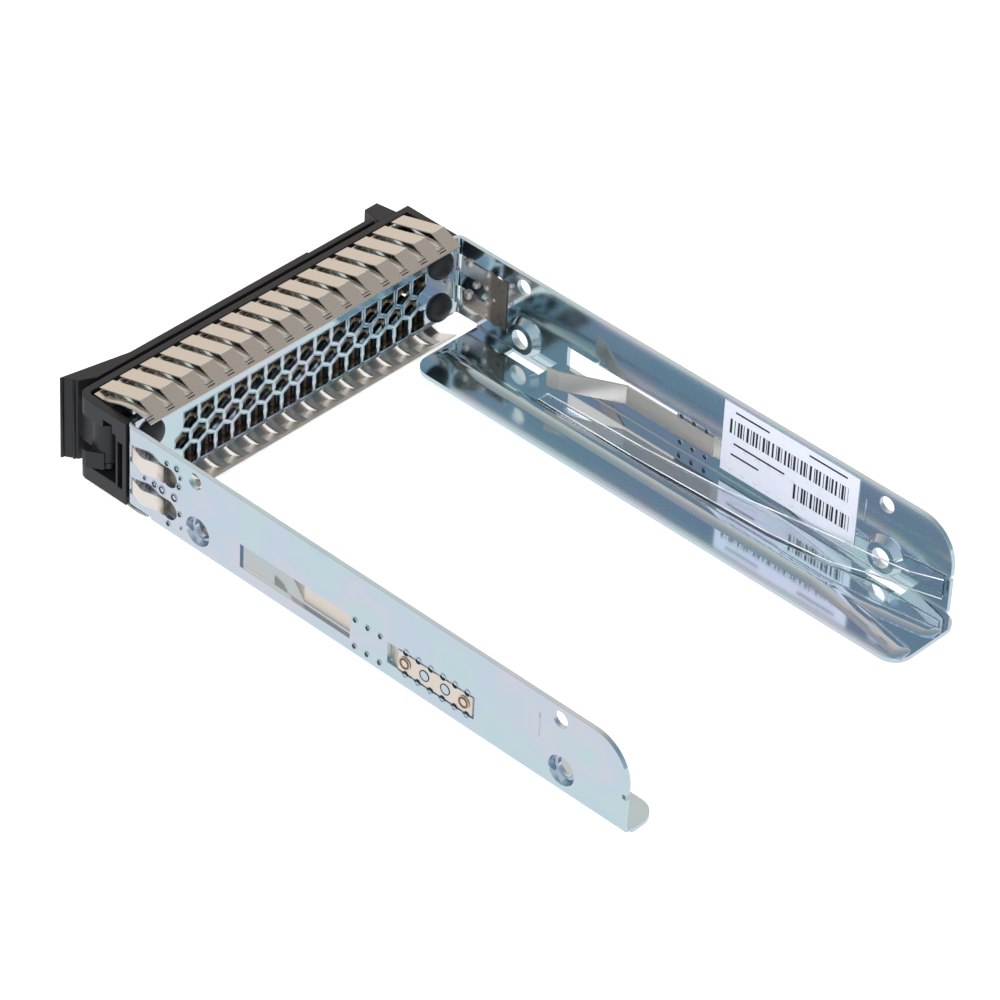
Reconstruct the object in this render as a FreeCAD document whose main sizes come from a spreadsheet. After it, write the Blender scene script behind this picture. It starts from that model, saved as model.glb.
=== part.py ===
# Hot swap drive caddy for a 2.5 inch drive.
# A tray folded from one zinc plated sheet carries the drive by four side screws. A black moulded
# bezel closes its front, with a swinging ejector lever and a sliding release latch. Two strips of
# spring fingers, two pairs of side contacts and a perforated screen ground the front.
#
# Axes while modelling: origin on the axis of the front pair of drive screws, midway between the
# rails, +X towards the lever's hinge, +Y towards the connector end, +Z up. Each finished piece is
# then placed so that the origin lies at the bottom centre of the whole caddy.
import FreeCAD, Part
import Sketcher
import math
import os

Vector = FreeCAD.Vector

# Driving dimensions, in millimetres: name, value, meaning.
SIZES = [
    ("drive_width", 69.85, "width of the drive that is carried"),
    ("screw_spacing", 76.6, "distance between the side screws of the drive"),
    ("seat_drop", 3.0, "side screw axis above the underside of the drive"),
    ("screw_bore", 3.5, "clearance hole for a side screw"),
    ("screw_ring", 5.2, "width of the sunk ring round a side screw hole"),
    ("side_gap", 1.175, "gap from the drive to the rail at each side"),
    ("gauge", 0.8, "thickness of the folded sheet"),
    ("rail_top", 11.7, "top edge of the rails above the screw axis"),
    ("rail_rear", 89.4, "rear end of the rails"),
    ("rail_corner", 7.0, "rounding of the upper rear corner of a rail"),
    ("web_rear", -15.4, "rear face of the front web"),
    ("web_top", 11.1, "upper face of the upper web flange"),
    ("web_low", -4.1, "lower face of the lower web flange"),
    ("web_flange_front", -25.6, "front edge of the web flanges"),
    ("web_inset", 3.9, "from the outside of a rail to the end of a web flange"),
    ("corner_bend", 0.8, "inner radius of the upright bends"),
    ("flange_bend", 0.4, "inner radius of the lengthwise bends"),
    ("far_flange", 16.2, "width of the far drive flange, with the rail"),
    ("near_flange", 7.1, "width of the near drive flange, with the rail"),
    ("flange_front", -10.4, "front end of the drive flanges"),
    ("far_flange_rear", 92.4, "rear end of the far drive flange"),
    ("near_flange_rear", 89.9, "rear end of the near drive flange"),
    ("flange_round", 3.4, "rounding of the ends of the drive flanges"),
    ("relief_length", 7.7, "length of the slot at the foot of a rail under each screw"),
    ("relief_width", 2.2, "width of that slot"),
    ("bead_height", 0.55, "height of the pressed bead on the far flange"),
    ("bead_width", 3.0, "width of the pressed bead"),
    ("bead_inset", 9.9, "from the outside of the far rail to the middle of the bead"),
    ("bead_fork", 72.0, "where the bead forks"),
    ("fork_spread", 7.2, "distance between the ends of the fork"),
    ("hex_pitch", 3.63, "pitch of the honeycomb"),
    ("hex_bar", 0.6, "bar between two honeycomb holes"),
    ("hex_middle", 2.9, "height of the middle row of holes"),
    ("field_top", 8.2, "upper edge of the honeycomb field"),
    ("field_low", -2.7, "lower edge of the honeycomb field"),
    ("field_inset", 7.9, "from the outside of a rail to the honeycomb field"),
    ("screen_gap", 1.2, "gap from the web to the inner screen"),
    ("screen_gauge", 0.3, "thickness of the inner screen"),
    ("screen_top", 9.7, "top of the inner screen"),
    ("screen_low", -2.9, "bottom of the inner screen"),
    ("screen_inset", 7.7, "from the outside of a rail to the end of the inner screen"),
    ("hole_high", 9.4, "height of the small upper rail holes"),
    ("hole_high_bore", 2.9, "width of the small upper rail holes"),
    ("hole_high_lead", 0.7, "small upper rail holes in front of the screw holes"),
    ("notch_height", 2.7, "height of the notch in the rear edge of a rail"),
    ("notch_width", 0.8, "width and depth of that notch"),
    ("window_front", 9.3, "front end of the spring window"),
    ("window_rear", 33.0, "rear end of the spring window"),
    ("window_low", -1.3, "lower edge of the spring window"),
    ("window_high", 3.1, "upper edge of the spring window"),
    ("spring_middle", 0.9, "height of the middle of a leaf spring"),
    ("spring_width", 3.6, "width of a leaf spring"),
    ("spring_gauge", 0.3, "thickness of a leaf spring"),
    ("spring_slot_front", 40.9, "front end of the slot that a leaf spring passes"),
    ("spring_slot_rear", 43.2, "rear end of that slot"),
    ("spring_tail", 58.5, "rear end of a leaf spring"),
    ("spring_bend", 22.5, "where a leaf spring leaves the rail"),
    ("spring_crest", 12.6, "where a leaf spring stands furthest in"),
    ("spring_reach", 5.2, "how far the spring stands in from the rail there"),
    ("spring_tip", 10.4, "front end of a leaf spring"),
    ("spring_tip_rise", 0.5, "further reach of the tip of a leaf spring"),
    ("pocket_depth", 0.35, "depth of the sunk seat of a leaf spring"),
    ("rivet_front", 44.6, "place of the front rivet of a leaf spring"),
    ("rivet_rear", 56.8, "place of the rear rivet of a leaf spring"),
    ("rivet_bore", 1.3, "shank of a rivet"),
    ("rivet_head", 2.3, "head of a rivet"),
    ("rivet_head_height", 0.2, "height of the head of a rivet"),
    ("contact_high", 6.9, "height of the upper side contact"),
    ("contact_low", 0.6, "height of the lower side contact"),
    ("contact_width", 3.0, "width of a side contact finger"),
    ("contact_gauge", 0.2, "thickness of a side contact"),
    ("contact_bulge", 0.9, "how far a side contact stands out of the rail"),
    ("contact_hole", 3.6, "hole that takes the end of a side contact"),
    ("contact_hole_place", -6.4, "place of that hole along the rail"),
    ("finger_pitch", 4.29, "pitch of the spring fingers"),
    ("finger_width", 2.85, "width of a spring finger"),
    ("finger_inset", 3.45, "from the outside of the near rail to the first finger"),
    ("finger_gauge", 0.2, "thickness of the finger strips"),
    ("tip_place", -25.6, "tips of the fingers"),
    ("tip_rise", 0.7, "finger tips above the web"),
    ("crest_place", -16.6, "crest of the fingers"),
    ("crest_rise", 3.2, "crest of the fingers above the web"),
    ("band_place", -12.7, "rear edge of the band behind the fingers"),
    ("band_rise", 1.4, "that edge above the web"),
    ("bar_front", -25.4, "front edge of the foot of a finger strip"),
    ("bar_rear", -24.2, "rear edge of that foot"),
    ("band_width", 1.1, "width of the band behind the fingers"),
    ("tie_width", 1.2, "width of the narrow ties between the fingers"),
    ("tie_foot", 1.7, "flat part of a tie behind the foot"),
    ("tie_bow", 3.0, "from the crest to the bend in front of it in a tie"),
    ("bezel_inset", 0.3, "from the outside of a rail to the side of the bezel"),
    ("bezel_front", -27.4, "front face of the bezel"),
    ("bezel_top", 11.4, "upper face of the bezel"),
    ("bezel_low", -4.4, "lower face of the bezel"),
    ("bezel_wall", 1.2, "thickness of the front wall of the bezel"),
    ("bezel_side", 1.4, "thickness of the side walls of the bezel"),
    ("bezel_round", 2.0, "rounding of the near front corner of the bezel"),
    ("post_inset", 4.8, "from the outside of a rail to the middle of a staked post"),
    ("post_high", 8.0, "height of the upper posts"),
    ("post_low", -0.5, "height of the lower posts"),
    ("post_bore", 3.0, "width of a post"),
    ("stake_width", 5.0, "width of the staked head of a post"),
    ("stake_height", 1.4, "height of the staked head"),
    ("pivot_inset", 3.2, "from the outside of the near rail to the lever's pin"),
    ("pivot_y", -23.2, "place of the lever's pin"),
    ("pin_width", 2.0, "width of the lever's pin"),
    ("pin_play", 0.05, "play round the lever's pin"),
    ("barrel_width", 5.4, "width of the barrel of the lever"),
    ("lever_back", -28.3, "back of the lever's plate"),
    ("lever_gauge", 1.3, "thickness of the lever's plate"),
    ("lever_near_inset", 1.2, "from the outside of the near rail to the lever's hinge end"),
    ("lever_far_inset", 7.0, "from the outside of the far rail to the lever's latch end"),
    ("lever_top", 11.2, "upper edge of the lever's plate"),
    ("lever_low", -4.2, "lower edge of the lever's plate"),
    ("lever_flare", -32.2, "front of the flared hinge end"),
    ("flare_inset", 13.7, "from the outside of the near rail to the start of the flare"),
    ("lever_step", 52.7, "from the outside of the near rail to the step in the plate"),
    ("lever_step_depth", 0.3, "depth of that step"),
    ("end_lead", 1.5, "slant of the hinge end of the plate, along the plate"),
    ("end_bevel", 1.4, "slant of the back of the plate at its hinge end"),
    ("lug_reach", 3.0, "from the lever's pin to the ends of its lugs"),
    ("arm_reach", 2.5, "from the lever's pin to the inner side of its arm"),
    ("arm_drop", 1.9, "underside of the arm above the lower edge of the hinge window"),
    ("tooth_reach", 4.0, "from the lever's pin to the tip of the cam tooth"),
    ("tooth_drop", 1.2, "cam tooth below the arm"),
    ("tooth_height", 3.2, "height of the cam tooth"),
    ("hub_high", 8.0, "upper edge of the hinge window of the bezel"),
    ("hub_low", -1.5, "lower edge of the hinge window"),
    ("hub_rear", -18.6, "rear edge of the hinge window"),
    ("hub_inset", 6.1, "from the outside of the near rail to the inner edge of the hinge window"),
    ("vent_pitch", 4.7, "pitch of the air slots"),
    ("vent_width", 2.9, "width of an air slot"),
    ("vent_high", 8.6, "upper end of the air slots"),
    ("vent_low", -1.6, "lower end of the air slots"),
    ("latch_inner_inset", 6.7, "from the outside of the far rail to the inner side of the latch"),
    ("latch_outer_inset", 2.7, "from the outside of the far rail to the outer side of the latch"),
    ("latch_front", -31.5, "front of the release latch"),
    ("latch_back", -27.6, "back of the release latch"),
    ("wire", 0.4, "wire of the lever's spring"),
    ("latch_bevel", 0.6, "slant of the sides of the release latch"),
    ("latch_travel", 1.5, "travel of the release latch"),
    ("stem_width", 1.6, "width of the stem of the latch"),
    ("stem_inset", 6.1, "from the outside of the far rail to the inner side of the stem"),
    ("label_front", 42.6, "front edge of the label"),
    ("label_rear", 70.4, "rear edge of the label"),
    ("label_high", 11.2, "upper edge of the label"),
    ("label_low", -2.3, "lower edge of the label"),
    ("label_gauge", 0.1, "thickness of the label"),
    ("pipe_gauge", 0.3, "thickness of the light pipe"),
    ("slack", 0.05, "gap between pieces that touch"),
    ("fit", 0.2, "clearance round mouldings that are pushed together or move"),
]

doc = FreeCAD.newDocument("drive_caddy")
sheet = doc.addObject("Spreadsheet::Sheet", "Sizes")
for row, (alias, value, meaning) in enumerate(SIZES, 1):
    sheet.set("A%d" % row, alias)
    sheet.set("B%d" % row, str(value))
    sheet.set("C%d" % row, meaning)
    sheet.setAlias("B%d" % row, alias)
doc.recompute()


class Size:
    """A length with its value now and the expression that works it out from the sheet."""

    def __init__(self, value, text):
        self.value = float(value)
        self.text = text

    def __add__(self, other):
        other = size(other)
        return Size(self.value + other.value, "(%s + %s)" % (self.text, other.text))

    def __sub__(self, other):
        other = size(other)
        return Size(self.value - other.value, "(%s - %s)" % (self.text, other.text))

    def __mul__(self, other):
        other = size(other)
        return Size(self.value * other.value, "(%s * %s)" % (self.text, other.text))

    def __truediv__(self, other):
        other = size(other)
        return Size(self.value / other.value, "(%s / %s)" % (self.text, other.text))

    def __neg__(self):
        return Size(-self.value, "(-1 * %s)" % self.text)

    __radd__ = __add__

    def __rsub__(self, other):
        return size(other) - self

    def __rmul__(self, other):
        return self * other


def size(number):
    """Turns a plain number into a Size."""
    if isinstance(number, Size):
        return number
    return Size(number, "%.6f" % number)


S = {alias: Size(value, "Sizes." + alias) for alias, value, meaning in SIZES}


def bind(thing, prop, length):
    """Ties one property of an object to the sheet."""
    thing.setExpression(prop, size(length).text)


places = {}


def place(thing, x=0, y=0, z=0):
    """Moves an object, with its place tied to the sheet."""
    x, y, z = size(x), size(y), size(z)
    places[thing.Name] = (x, y, z)
    thing.Placement.Base = Vector(x.value, y.value, z.value)
    bind(thing, "Placement.Base.x", x)
    bind(thing, "Placement.Base.y", y)
    bind(thing, "Placement.Base.z", z)


def block(name, x0, x1, y0, y1, z0, z1):
    """A box between two corners."""
    thing = doc.addObject("Part::Box", name)
    for prop, low, high in (("Length", x0, x1), ("Width", y0, y1), ("Height", z0, z1)):
        bind(thing, prop, size(high) - low)
    place(thing, x0, y0, z0)
    return thing


TURN = {"x": FreeCAD.Rotation(Vector(0, 1, 0), 90),
        "y": FreeCAD.Rotation(Vector(1, 0, 0), -90),
        "z": FreeCAD.Rotation()}


def rod(name, axis, x, y, z, width, length, top_width=None):
    """A cylinder, or a cone where top_width is given, that starts at x, y, z and runs along +axis."""
    kind = "Part::Cylinder" if top_width is None else "Part::Cone"
    thing = doc.addObject(kind, name)
    if top_width is None:
        bind(thing, "Radius", size(width) / 2)
    else:
        bind(thing, "Radius1", size(width) / 2)
        bind(thing, "Radius2", size(top_width) / 2)
    bind(thing, "Height", length)
    thing.Placement.Rotation = TURN[axis]
    place(thing, x, y, z)
    return thing


def join(name, things):
    """Fuses objects into one."""
    thing = doc.addObject("Part::MultiFuse", name)
    thing.Shapes = things
    thing.Refine = True
    return thing


def cut(name, base, tools):
    """Takes tools away from base."""
    thing = doc.addObject("Part::Cut", name)
    thing.Base = base
    thing.Tool = tools[0] if len(tools) == 1 else join(name + "_tools", tools)
    thing.Refine = True
    return thing


def mirror(name, source, normal, offset=0):
    """A mirrored copy of an object, about a plane square to an axis."""
    thing = doc.addObject("Part::Mirroring", name)
    thing.Source = source
    thing.Normal = normal
    for letter, part in zip("xyz", normal):
        if part:
            bind(thing, "Base." + letter, offset)
    return thing


def axis_of(a, b):
    """Direction from a to b, along one axis of a sketch."""
    du, dv = b[0].value - a[0].value, b[1].value - a[1].value
    if abs(du) > abs(dv):
        return (1 if du > 0 else -1, 0)
    return (0, 1 if dv > 0 else -1)


def tie(sketch, geometry, point, spot):
    """Ties a point of a sketch to the sheet."""
    for kind, length in zip(("DistanceX", "DistanceY"), spot):
        number = sketch.addConstraint(
            Sketcher.Constraint(kind, -1, 1, geometry, point, length.value))
        bind(sketch, "Constraints[%d]" % number, length)


def draw_loop(sketch, corners):
    """A closed outline. A corner is (u, v), or (u, v, radius) where two square sides meet."""
    corners = [tuple(size(value) for value in corner) for corner in corners]
    spots = []
    for i, corner in enumerate(corners):
        if len(corner) == 2:
            spots.append((corner, corner, None))
            continue
        back = axis_of(corner, corners[i - 1])
        ahead = axis_of(corner, corners[(i + 1) % len(corners)])
        radius = corner[2]
        start = tuple(corner[k] + radius * back[k] for k in (0, 1))
        end = tuple(corner[k] + radius * ahead[k] for k in (0, 1))
        bow = (1 - math.sqrt(0.5)) * radius.value
        middle = [corner[k].value + bow * (back[k] + ahead[k]) for k in (0, 1)]
        spots.append((start, end, (middle, radius)))
    for i, (start, end, bend) in enumerate(spots):
        following = spots[(i + 1) % len(spots)][0]
        a = Vector(end[0].value, end[1].value, 0)
        b = Vector(following[0].value, following[1].value, 0)
        line = sketch.addGeometry(Part.LineSegment(a, b))
        tie(sketch, line, 1, end)
        tie(sketch, line, 2, following)
        if bend:
            middle, radius = bend
            c = Vector(start[0].value, start[1].value, 0)
            arc = sketch.addGeometry(Part.Arc(c, Vector(middle[0], middle[1], 0), a))
            first = sketch.getPoint(arc, 1)
            turned = (first - c).Length > 1e-6
            tie(sketch, arc, 2 if turned else 1, start)
            tie(sketch, arc, 1 if turned else 2, end)
            number = sketch.addConstraint(Sketcher.Constraint("Radius", arc, radius.value))
            bind(sketch, "Constraints[%d]" % number, radius)


def draw_disc(sketch, u, v, width):
    """A circle."""
    u, v, width = size(u), size(v), size(width)
    disc = sketch.addGeometry(
        Part.Circle(Vector(u.value, v.value, 0), Vector(0, 0, 1), width.value / 2))
    tie(sketch, disc, 3, (u, v))
    number = sketch.addConstraint(Sketcher.Constraint("Diameter", disc, width.value))
    bind(sketch, "Constraints[%d]" % number, width)


def profile(body, name, plane, place_on_axis, loops=(), discs=()):
    """A sketch on one of a body's own origin planes, moved along that plane's normal."""
    sketch = body.newObject("Sketcher::SketchObject", name)
    support = [f for f in body.Origin.OriginFeatures if f.Role == plane][0]
    sketch.AttachmentSupport = (support, [""])
    sketch.MapMode = "FlatFace"
    bind(sketch, "AttachmentOffset.Base.z", place_on_axis)
    for loop in loops:
        draw_loop(sketch, loop)
    for disc in discs:
        draw_disc(sketch, *disc)
    return sketch


def prism(name, plane, start, end, loops=(), discs=(), body=None, taper=0):
    """A body raised from an outline, between two places along the normal of its plane."""
    start, end = size(start), size(end)
    if body is None:
        body = doc.addObject("PartDesign::Body", name)
    offset = -end if plane == "XZ_Plane" else start
    sketch = profile(body, name + "_outline", plane, offset, loops, discs)
    raised = body.newObject("PartDesign::Pad", name + "_pad")
    raised.Profile = sketch
    bind(raised, "Length", end - start)
    raised.TaperAngle = taper
    doc.recompute()
    return body


def repeat(body, axis, count, step, backwards=False):
    """Repeats all pads of a body in a row."""
    row = body.newObject("PartDesign::LinearPattern", body.Name + "_row")
    row.Originals = [f for f in body.Group if f.TypeId == "PartDesign::Pad"]
    row.Direction = ([f for f in body.Origin.OriginFeatures if f.Role == axis][0], [""])
    row.Reversed = backwards
    row.Occurrences = count
    bind(row, "Length", size(step) * (count - 1))
    body.Tip = row
    doc.recompute()
    return body


def round_edges(body, name, radius, test):
    """Rounds the straight edges of a body whose middle and direction pass the test."""
    base = body.Tip
    names = []
    for number, edge in enumerate(base.Shape.Edges, 1):
        if edge.Curve.TypeId != "Part::GeomLine":
            continue
        middle = edge.valueAt((edge.FirstParameter + edge.LastParameter) / 2)
        if test(middle, edge.tangentAt(edge.FirstParameter)):
            names.append("Edge%d" % number)
    rounded = body.newObject("PartDesign::Fillet", name)
    rounded.Base = (base, names)
    bind(rounded, "Radius", radius)
    body.Tip = rounded
    doc.recompute()
    return body


def near(value, length):
    return abs(value - size(length).value) < 1e-4


def ribbon_loop(points, gauge):
    """Outline of a strip of even thickness whose middle line runs through the points."""
    left, right = [], []
    for i, point in enumerate(points):
        before = points[max(i - 1, 0)]
        after = points[min(i + 1, len(points) - 1)]
        sides = []
        for a, b in ((before, point), (point, after)):
            run = math.hypot(b[0] - a[0], b[1] - a[1])
            if run:
                sides.append(((a[1] - b[1]) / run, (b[0] - a[0]) / run))
        u = sum(s[0] for s in sides)
        v = sum(s[1] for s in sides)
        scale = gauge / (u * u + v * v) * len(sides)
        left.append((point[0] + u * scale / 2, point[1] + v * scale / 2))
        right.append((point[0] - u * scale / 2, point[1] - v * scale / 2))
    return left + right[::-1]


def ribbon(points, gauge, low, high, side):
    """An upright strip with a bent middle line in plan, on the near (1) or far (-1) side."""
    corners = [Vector(side * x, y, low) for x, y in ribbon_loop(points, gauge)]
    face = Part.Face(Part.makePolygon(corners + corners[:1]))
    return face.extrude(Vector(0, 0, high - low))


def solid(name, shape):
    """An object whose shape is made in code from the sheet's sizes."""
    thing = doc.addObject("Part::Feature", name)
    thing.Shape = shape
    return thing


# Sizes that follow from the driving ones.
rail_in = S["drive_width"] / 2 + S["side_gap"]
rail_out = rail_in + S["gauge"]
web_front = S["web_rear"] - S["gauge"]
flange_top = -S["seat_drop"] - S["bead_height"]
flange_under = flange_top - S["gauge"]
bend_out = S["flange_bend"] + S["gauge"]
bend_top = flange_under + bend_out
strip_middle = (S["web_top"] + S["web_low"]) / 2
web_half = rail_out - S["web_inset"]
bead_middle = rail_out - S["bead_inset"]
field_half = rail_out - S["field_inset"]
screen_half = rail_out - S["screen_inset"]
finger_first = rail_out - S["finger_inset"]
bezel_half = rail_out - S["bezel_inset"]
post_place = rail_out - S["post_inset"]
pivot_x = rail_out - S["pivot_inset"]
lever_near = rail_out - S["lever_near_inset"]
lever_far = S["lever_far_inset"] - rail_out
flare_start = rail_out - S["flare_inset"]
hub_inner = rail_out - S["hub_inset"]
latch_inner = S["latch_inner_inset"] - rail_out
latch_outer = S["latch_outer_inset"] - rail_out
stem_place = S["stem_inset"] - rail_out
tip_height = S["web_top"] + S["tip_rise"]
crest_height = S["web_top"] + S["crest_rise"]
band_height = S["web_top"] + S["band_rise"]
lift = crest_height - strip_middle * 2
centre_y = (S["far_flange_rear"] + S["lever_flare"]) / 2
finished = []


def finish(label, thing, moved=True):
    """Names a finished piece and moves it to the caddy's own origin."""
    thing.Label = label
    if moved:
        x, y, z = places.get(thing.Name, (size(0), size(0), size(0)))
        place(thing, x, y - centre_y, z + lift)
    finished.append(thing)
    return thing


def through(name, y, z, width):
    """A round cutter through both rails."""
    reach = rail_out + 2
    return rod(name, "x", -reach, y, z, width, reach * 2)


def through_block(name, y0, y1, z0, z1):
    """A square cutter through both rails."""
    reach = rail_out + 2
    return block(name, -reach, reach, y0, y1, z0, z1)


# Tray: rails with the upright bends, front web, drive flanges with their bends.
def rail_loop(side):
    return [(side * rail_out, S["rail_rear"]),
            (side * rail_out, web_front, S["corner_bend"] + S["gauge"]),
            (side * web_half, web_front), (side * web_half, S["web_rear"]),
            (side * rail_in, S["web_rear"], S["corner_bend"]), (side * rail_in, S["rail_rear"])]


rails = prism("rails", "XY_Plane", bend_top, S["rail_top"], [rail_loop(1), rail_loop(-1)])
round_edges(rails, "rail_corners", S["rail_corner"],
            lambda at, way: near(at.y, S["rail_rear"]) and near(at.z, S["rail_top"]))

web = prism("web", "YZ_Plane", -web_half, web_half, [[
    (S["web_flange_front"], S["web_top"]), (S["web_rear"], S["web_top"], bend_out),
    (S["web_rear"], S["web_low"], bend_out), (S["web_flange_front"], S["web_low"]),
    (S["web_flange_front"], S["web_low"] + S["gauge"]),
    (web_front, S["web_low"] + S["gauge"], S["flange_bend"]),
    (web_front, S["web_top"] - S["gauge"], S["flange_bend"]),
    (S["web_flange_front"], S["web_top"] - S["gauge"])]])


def bend_loop(side):
    return [(side * rail_out, bend_top + S["gauge"]), (side * rail_out, flange_under, bend_out),
            (side * (rail_out - bend_out * 2), flange_under),
            (side * (rail_out - bend_out * 2), flange_top),
            (side * rail_in, flange_top, S["flange_bend"]), (side * rail_in, bend_top + S["gauge"])]


bends = prism("flange_bends", "XZ_Plane", S["flange_front"], S["rail_rear"],
              [bend_loop(1), bend_loop(-1)])


def flange_loop(side, width, rear):
    foot, tip = side * (rail_out - bend_out), side * (rail_out - width)
    return [(foot, S["flange_front"]), (tip, S["flange_front"], S["flange_round"]),
            (tip, rear, S["flange_round"]), (foot, rear, rear - S["rail_rear"])]


far_flange = prism("far_drive_flange", "XY_Plane", flange_under, flange_top,
                   [flange_loop(-1, S["far_flange"], S["far_flange_rear"])])
near_flange = prism("near_drive_flange", "XY_Plane", flange_under, flange_top,
                    [flange_loop(1, S["near_flange"], S["near_flange_rear"])])


def bead(name, low, narrower):
    """The pressed bead of the far flange, which forks towards the rear."""
    half = S["bead_width"] / 2 - narrower
    arm = half * 0.8
    end = S["far_flange_rear"] - S["flange_round"]
    middle, spread = -bead_middle, S["fork_spread"] / 2
    loop = [(middle - half, S["flange_front"] + narrower), (middle - half, S["bead_fork"]),
            (middle - spread - arm, end), (middle - spread + arm, end),
            (middle, S["bead_fork"] + half * 3),
            (middle + spread - arm, end), (middle + spread + arm, end),
            (middle + half, S["bead_fork"]), (middle + half, S["flange_front"] + narrower)]
    return prism(name, "XY_Plane", low, low + S["bead_height"], [loop], taper=-45)


bead_top = bead("bead", flange_top, 0)
bead_groove = bead("bead_groove", flange_under, S["bead_width"] / 8)

screw_places = (size(0), S["screw_spacing"])
bosses, dimples, tray_cutters = [], [], [bead_groove]
for number, y in enumerate(screw_places, 1):
    for side, name in ((1, "near"), (-1, "far")):
        start, end = rail_in, S["drive_width"] / 2
        top = S["screw_bore"] + S["gauge"] * 2.5
        boss = rod("%s_boss_%d" % (name, number), "x", 0, 0, 0, top, start - end,
                   S["screw_ring"] + S["gauge"] * 2.5)
        dimple = rod("%s_dimple_%d" % (name, number), "x", 0, 0, 0, S["screw_bore"] + S["gauge"],
                     start - end, S["screw_ring"])
        for cone, inner in ((boss, end), (dimple, end + S["gauge"])):
            if side < 0:
                cone.Placement.Rotation = FreeCAD.Rotation(Vector(0, 1, 0), -90)
            place(cone, side * inner, y, 0)
        bosses.append(boss)
        dimples.append(dimple)
    tray_cutters.append(through("screw_bore_%d" % number, y, 0, S["screw_bore"]))
    tray_cutters.append(through("upper_hole_%d" % number, y - S["hole_high_lead"], S["hole_high"],
                                S["hole_high_bore"]))
    for side, name in ((1, "near"), (-1, "far")):
        inner = side * (rail_in - S["relief_width"])
        outer = side * (rail_in - S["slack"])
        low_x, high_x = (inner, outer) if side > 0 else (outer, inner)
        first = y - S["relief_length"] * 0.3
        tray_cutters.append(block("%s_relief_%d" % (name, number), low_x, high_x, first,
                                  first + S["relief_length"], flange_under - 1, flange_top + 0.5))

spring_low = S["spring_middle"] - S["spring_width"] / 2
spring_high = S["spring_middle"] + S["spring_width"] / 2
tray_cutters += [
    through_block("spring_window", S["window_front"], S["window_rear"], S["window_low"],
                  S["window_high"]),
    through_block("spring_slot", S["spring_slot_front"], S["spring_slot_rear"],
                  spring_low - S["slack"] * 3, spring_high + S["slack"] * 3)]
for side, name in ((1, "near"), (-1, "far")):
    floor, outside = side * (rail_out - S["pocket_depth"]), side * (rail_out + 1)
    low_x, high_x = (floor, outside) if side > 0 else (outside, floor)
    tray_cutters.append(block(name + "_spring_pocket", low_x, high_x, S["spring_slot_rear"],
                              S["spring_tail"] + 0.4, spring_low - 0.3, spring_high + 0.3))
tray_cutters.append(through_block(
    "rear_notch", S["rail_rear"] - S["notch_width"], S["rail_rear"] + 1,
    S["notch_height"] - S["notch_width"] / 2, S["notch_height"] + S["notch_width"] / 2))
rivet_places = (("front", S["rivet_front"]), ("rear", S["rivet_rear"]))
for name, y in rivet_places:
    tray_cutters.append(through(name + "_rivet_hole", y, S["spring_middle"],
                                S["rivet_bore"] + S["slack"]))
for name, z in (("upper", S["contact_high"]), ("lower", S["contact_low"])):
    half = S["contact_width"] / 2 + S["slack"] * 4
    tray_cutters.append(through_block(name + "_contact_slot", S["web_rear"] + S["slack"] * 2,
                                      S["web_rear"] + S["contact_width"], z - half, z + half))
    tray_cutters.append(through(name + "_contact_hole", S["contact_hole_place"], z,
                                S["contact_hole"]))
for name, side in (("near", 1), ("far", -1)):
    for level, z in (("high", S["post_high"]), ("low", S["post_low"])):
        tray_cutters.append(rod("%s_%s_post_hole" % (name, level), "y", side * post_place,
                                web_front - 1, z, S["post_bore"] + S["slack"] * 2, S["gauge"] + 2))

# Honeycomb: three rows of holes, the upper and lower rows cut off straight.
cell = (S["hex_pitch"] - S["hex_bar"]) / 2
point = cell * (2 / math.sqrt(3))
row_step = S["hex_pitch"] * (math.sqrt(3) / 2)
columns = int(2 * field_half.value / S["hex_pitch"].value)
first_x = S["hex_pitch"] * ((columns - 1) / 2)
middle_z, upper_z, lower_z = S["hex_middle"], S["hex_middle"] + row_step, S["hex_middle"] - row_step
aside = first_x - S["hex_pitch"] / 2
cell_loops = [
    [(first_x, middle_z + point), (first_x + cell, middle_z + point / 2),
     (first_x + cell, middle_z - point / 2), (first_x, middle_z - point),
     (first_x - cell, middle_z - point / 2), (first_x - cell, middle_z + point / 2)],
    [(aside + cell, S["field_top"]), (aside + cell, upper_z - point / 2), (aside, upper_z - point),
     (aside - cell, upper_z - point / 2), (aside - cell, S["field_top"])],
    [(aside + cell, S["field_low"]), (aside + cell, lower_z + point / 2), (aside, lower_z + point),
     (aside - cell, lower_z + point / 2), (aside - cell, S["field_low"])]]
cells = prism("cells", "XZ_Plane", web_front - S["screen_gap"] - 1, S["web_rear"] + 1, cell_loops)
repeat(cells, "X_Axis", columns, S["hex_pitch"], backwards=True)

tray_blank = join("tray_blank", [rails, web, bends, far_flange, near_flange, bead_top] + bosses)
tray = finish("tray", cut("tray", tray_blank, tray_cutters + dimples + [cells]))

# Inner screen: the same honeycomb in a thinner sheet, with its edges turned back to the web.
screen_rear = web_front - S["screen_gap"]
screen_front = screen_rear - S["screen_gauge"]
screen_pan = block("screen_pan", -screen_half, screen_half, screen_front,
                   web_front - S["slack"], S["screen_low"], S["screen_top"])
screen_hollow = block("screen_hollow", -screen_half + S["screen_gauge"],
                      screen_half - S["screen_gauge"], screen_rear, web_front,
                      S["screen_low"] + S["screen_gauge"], S["screen_top"] - S["screen_gauge"])
finish("inner_screen", cut("inner_screen", screen_pan, [screen_hollow, cells]))

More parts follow.
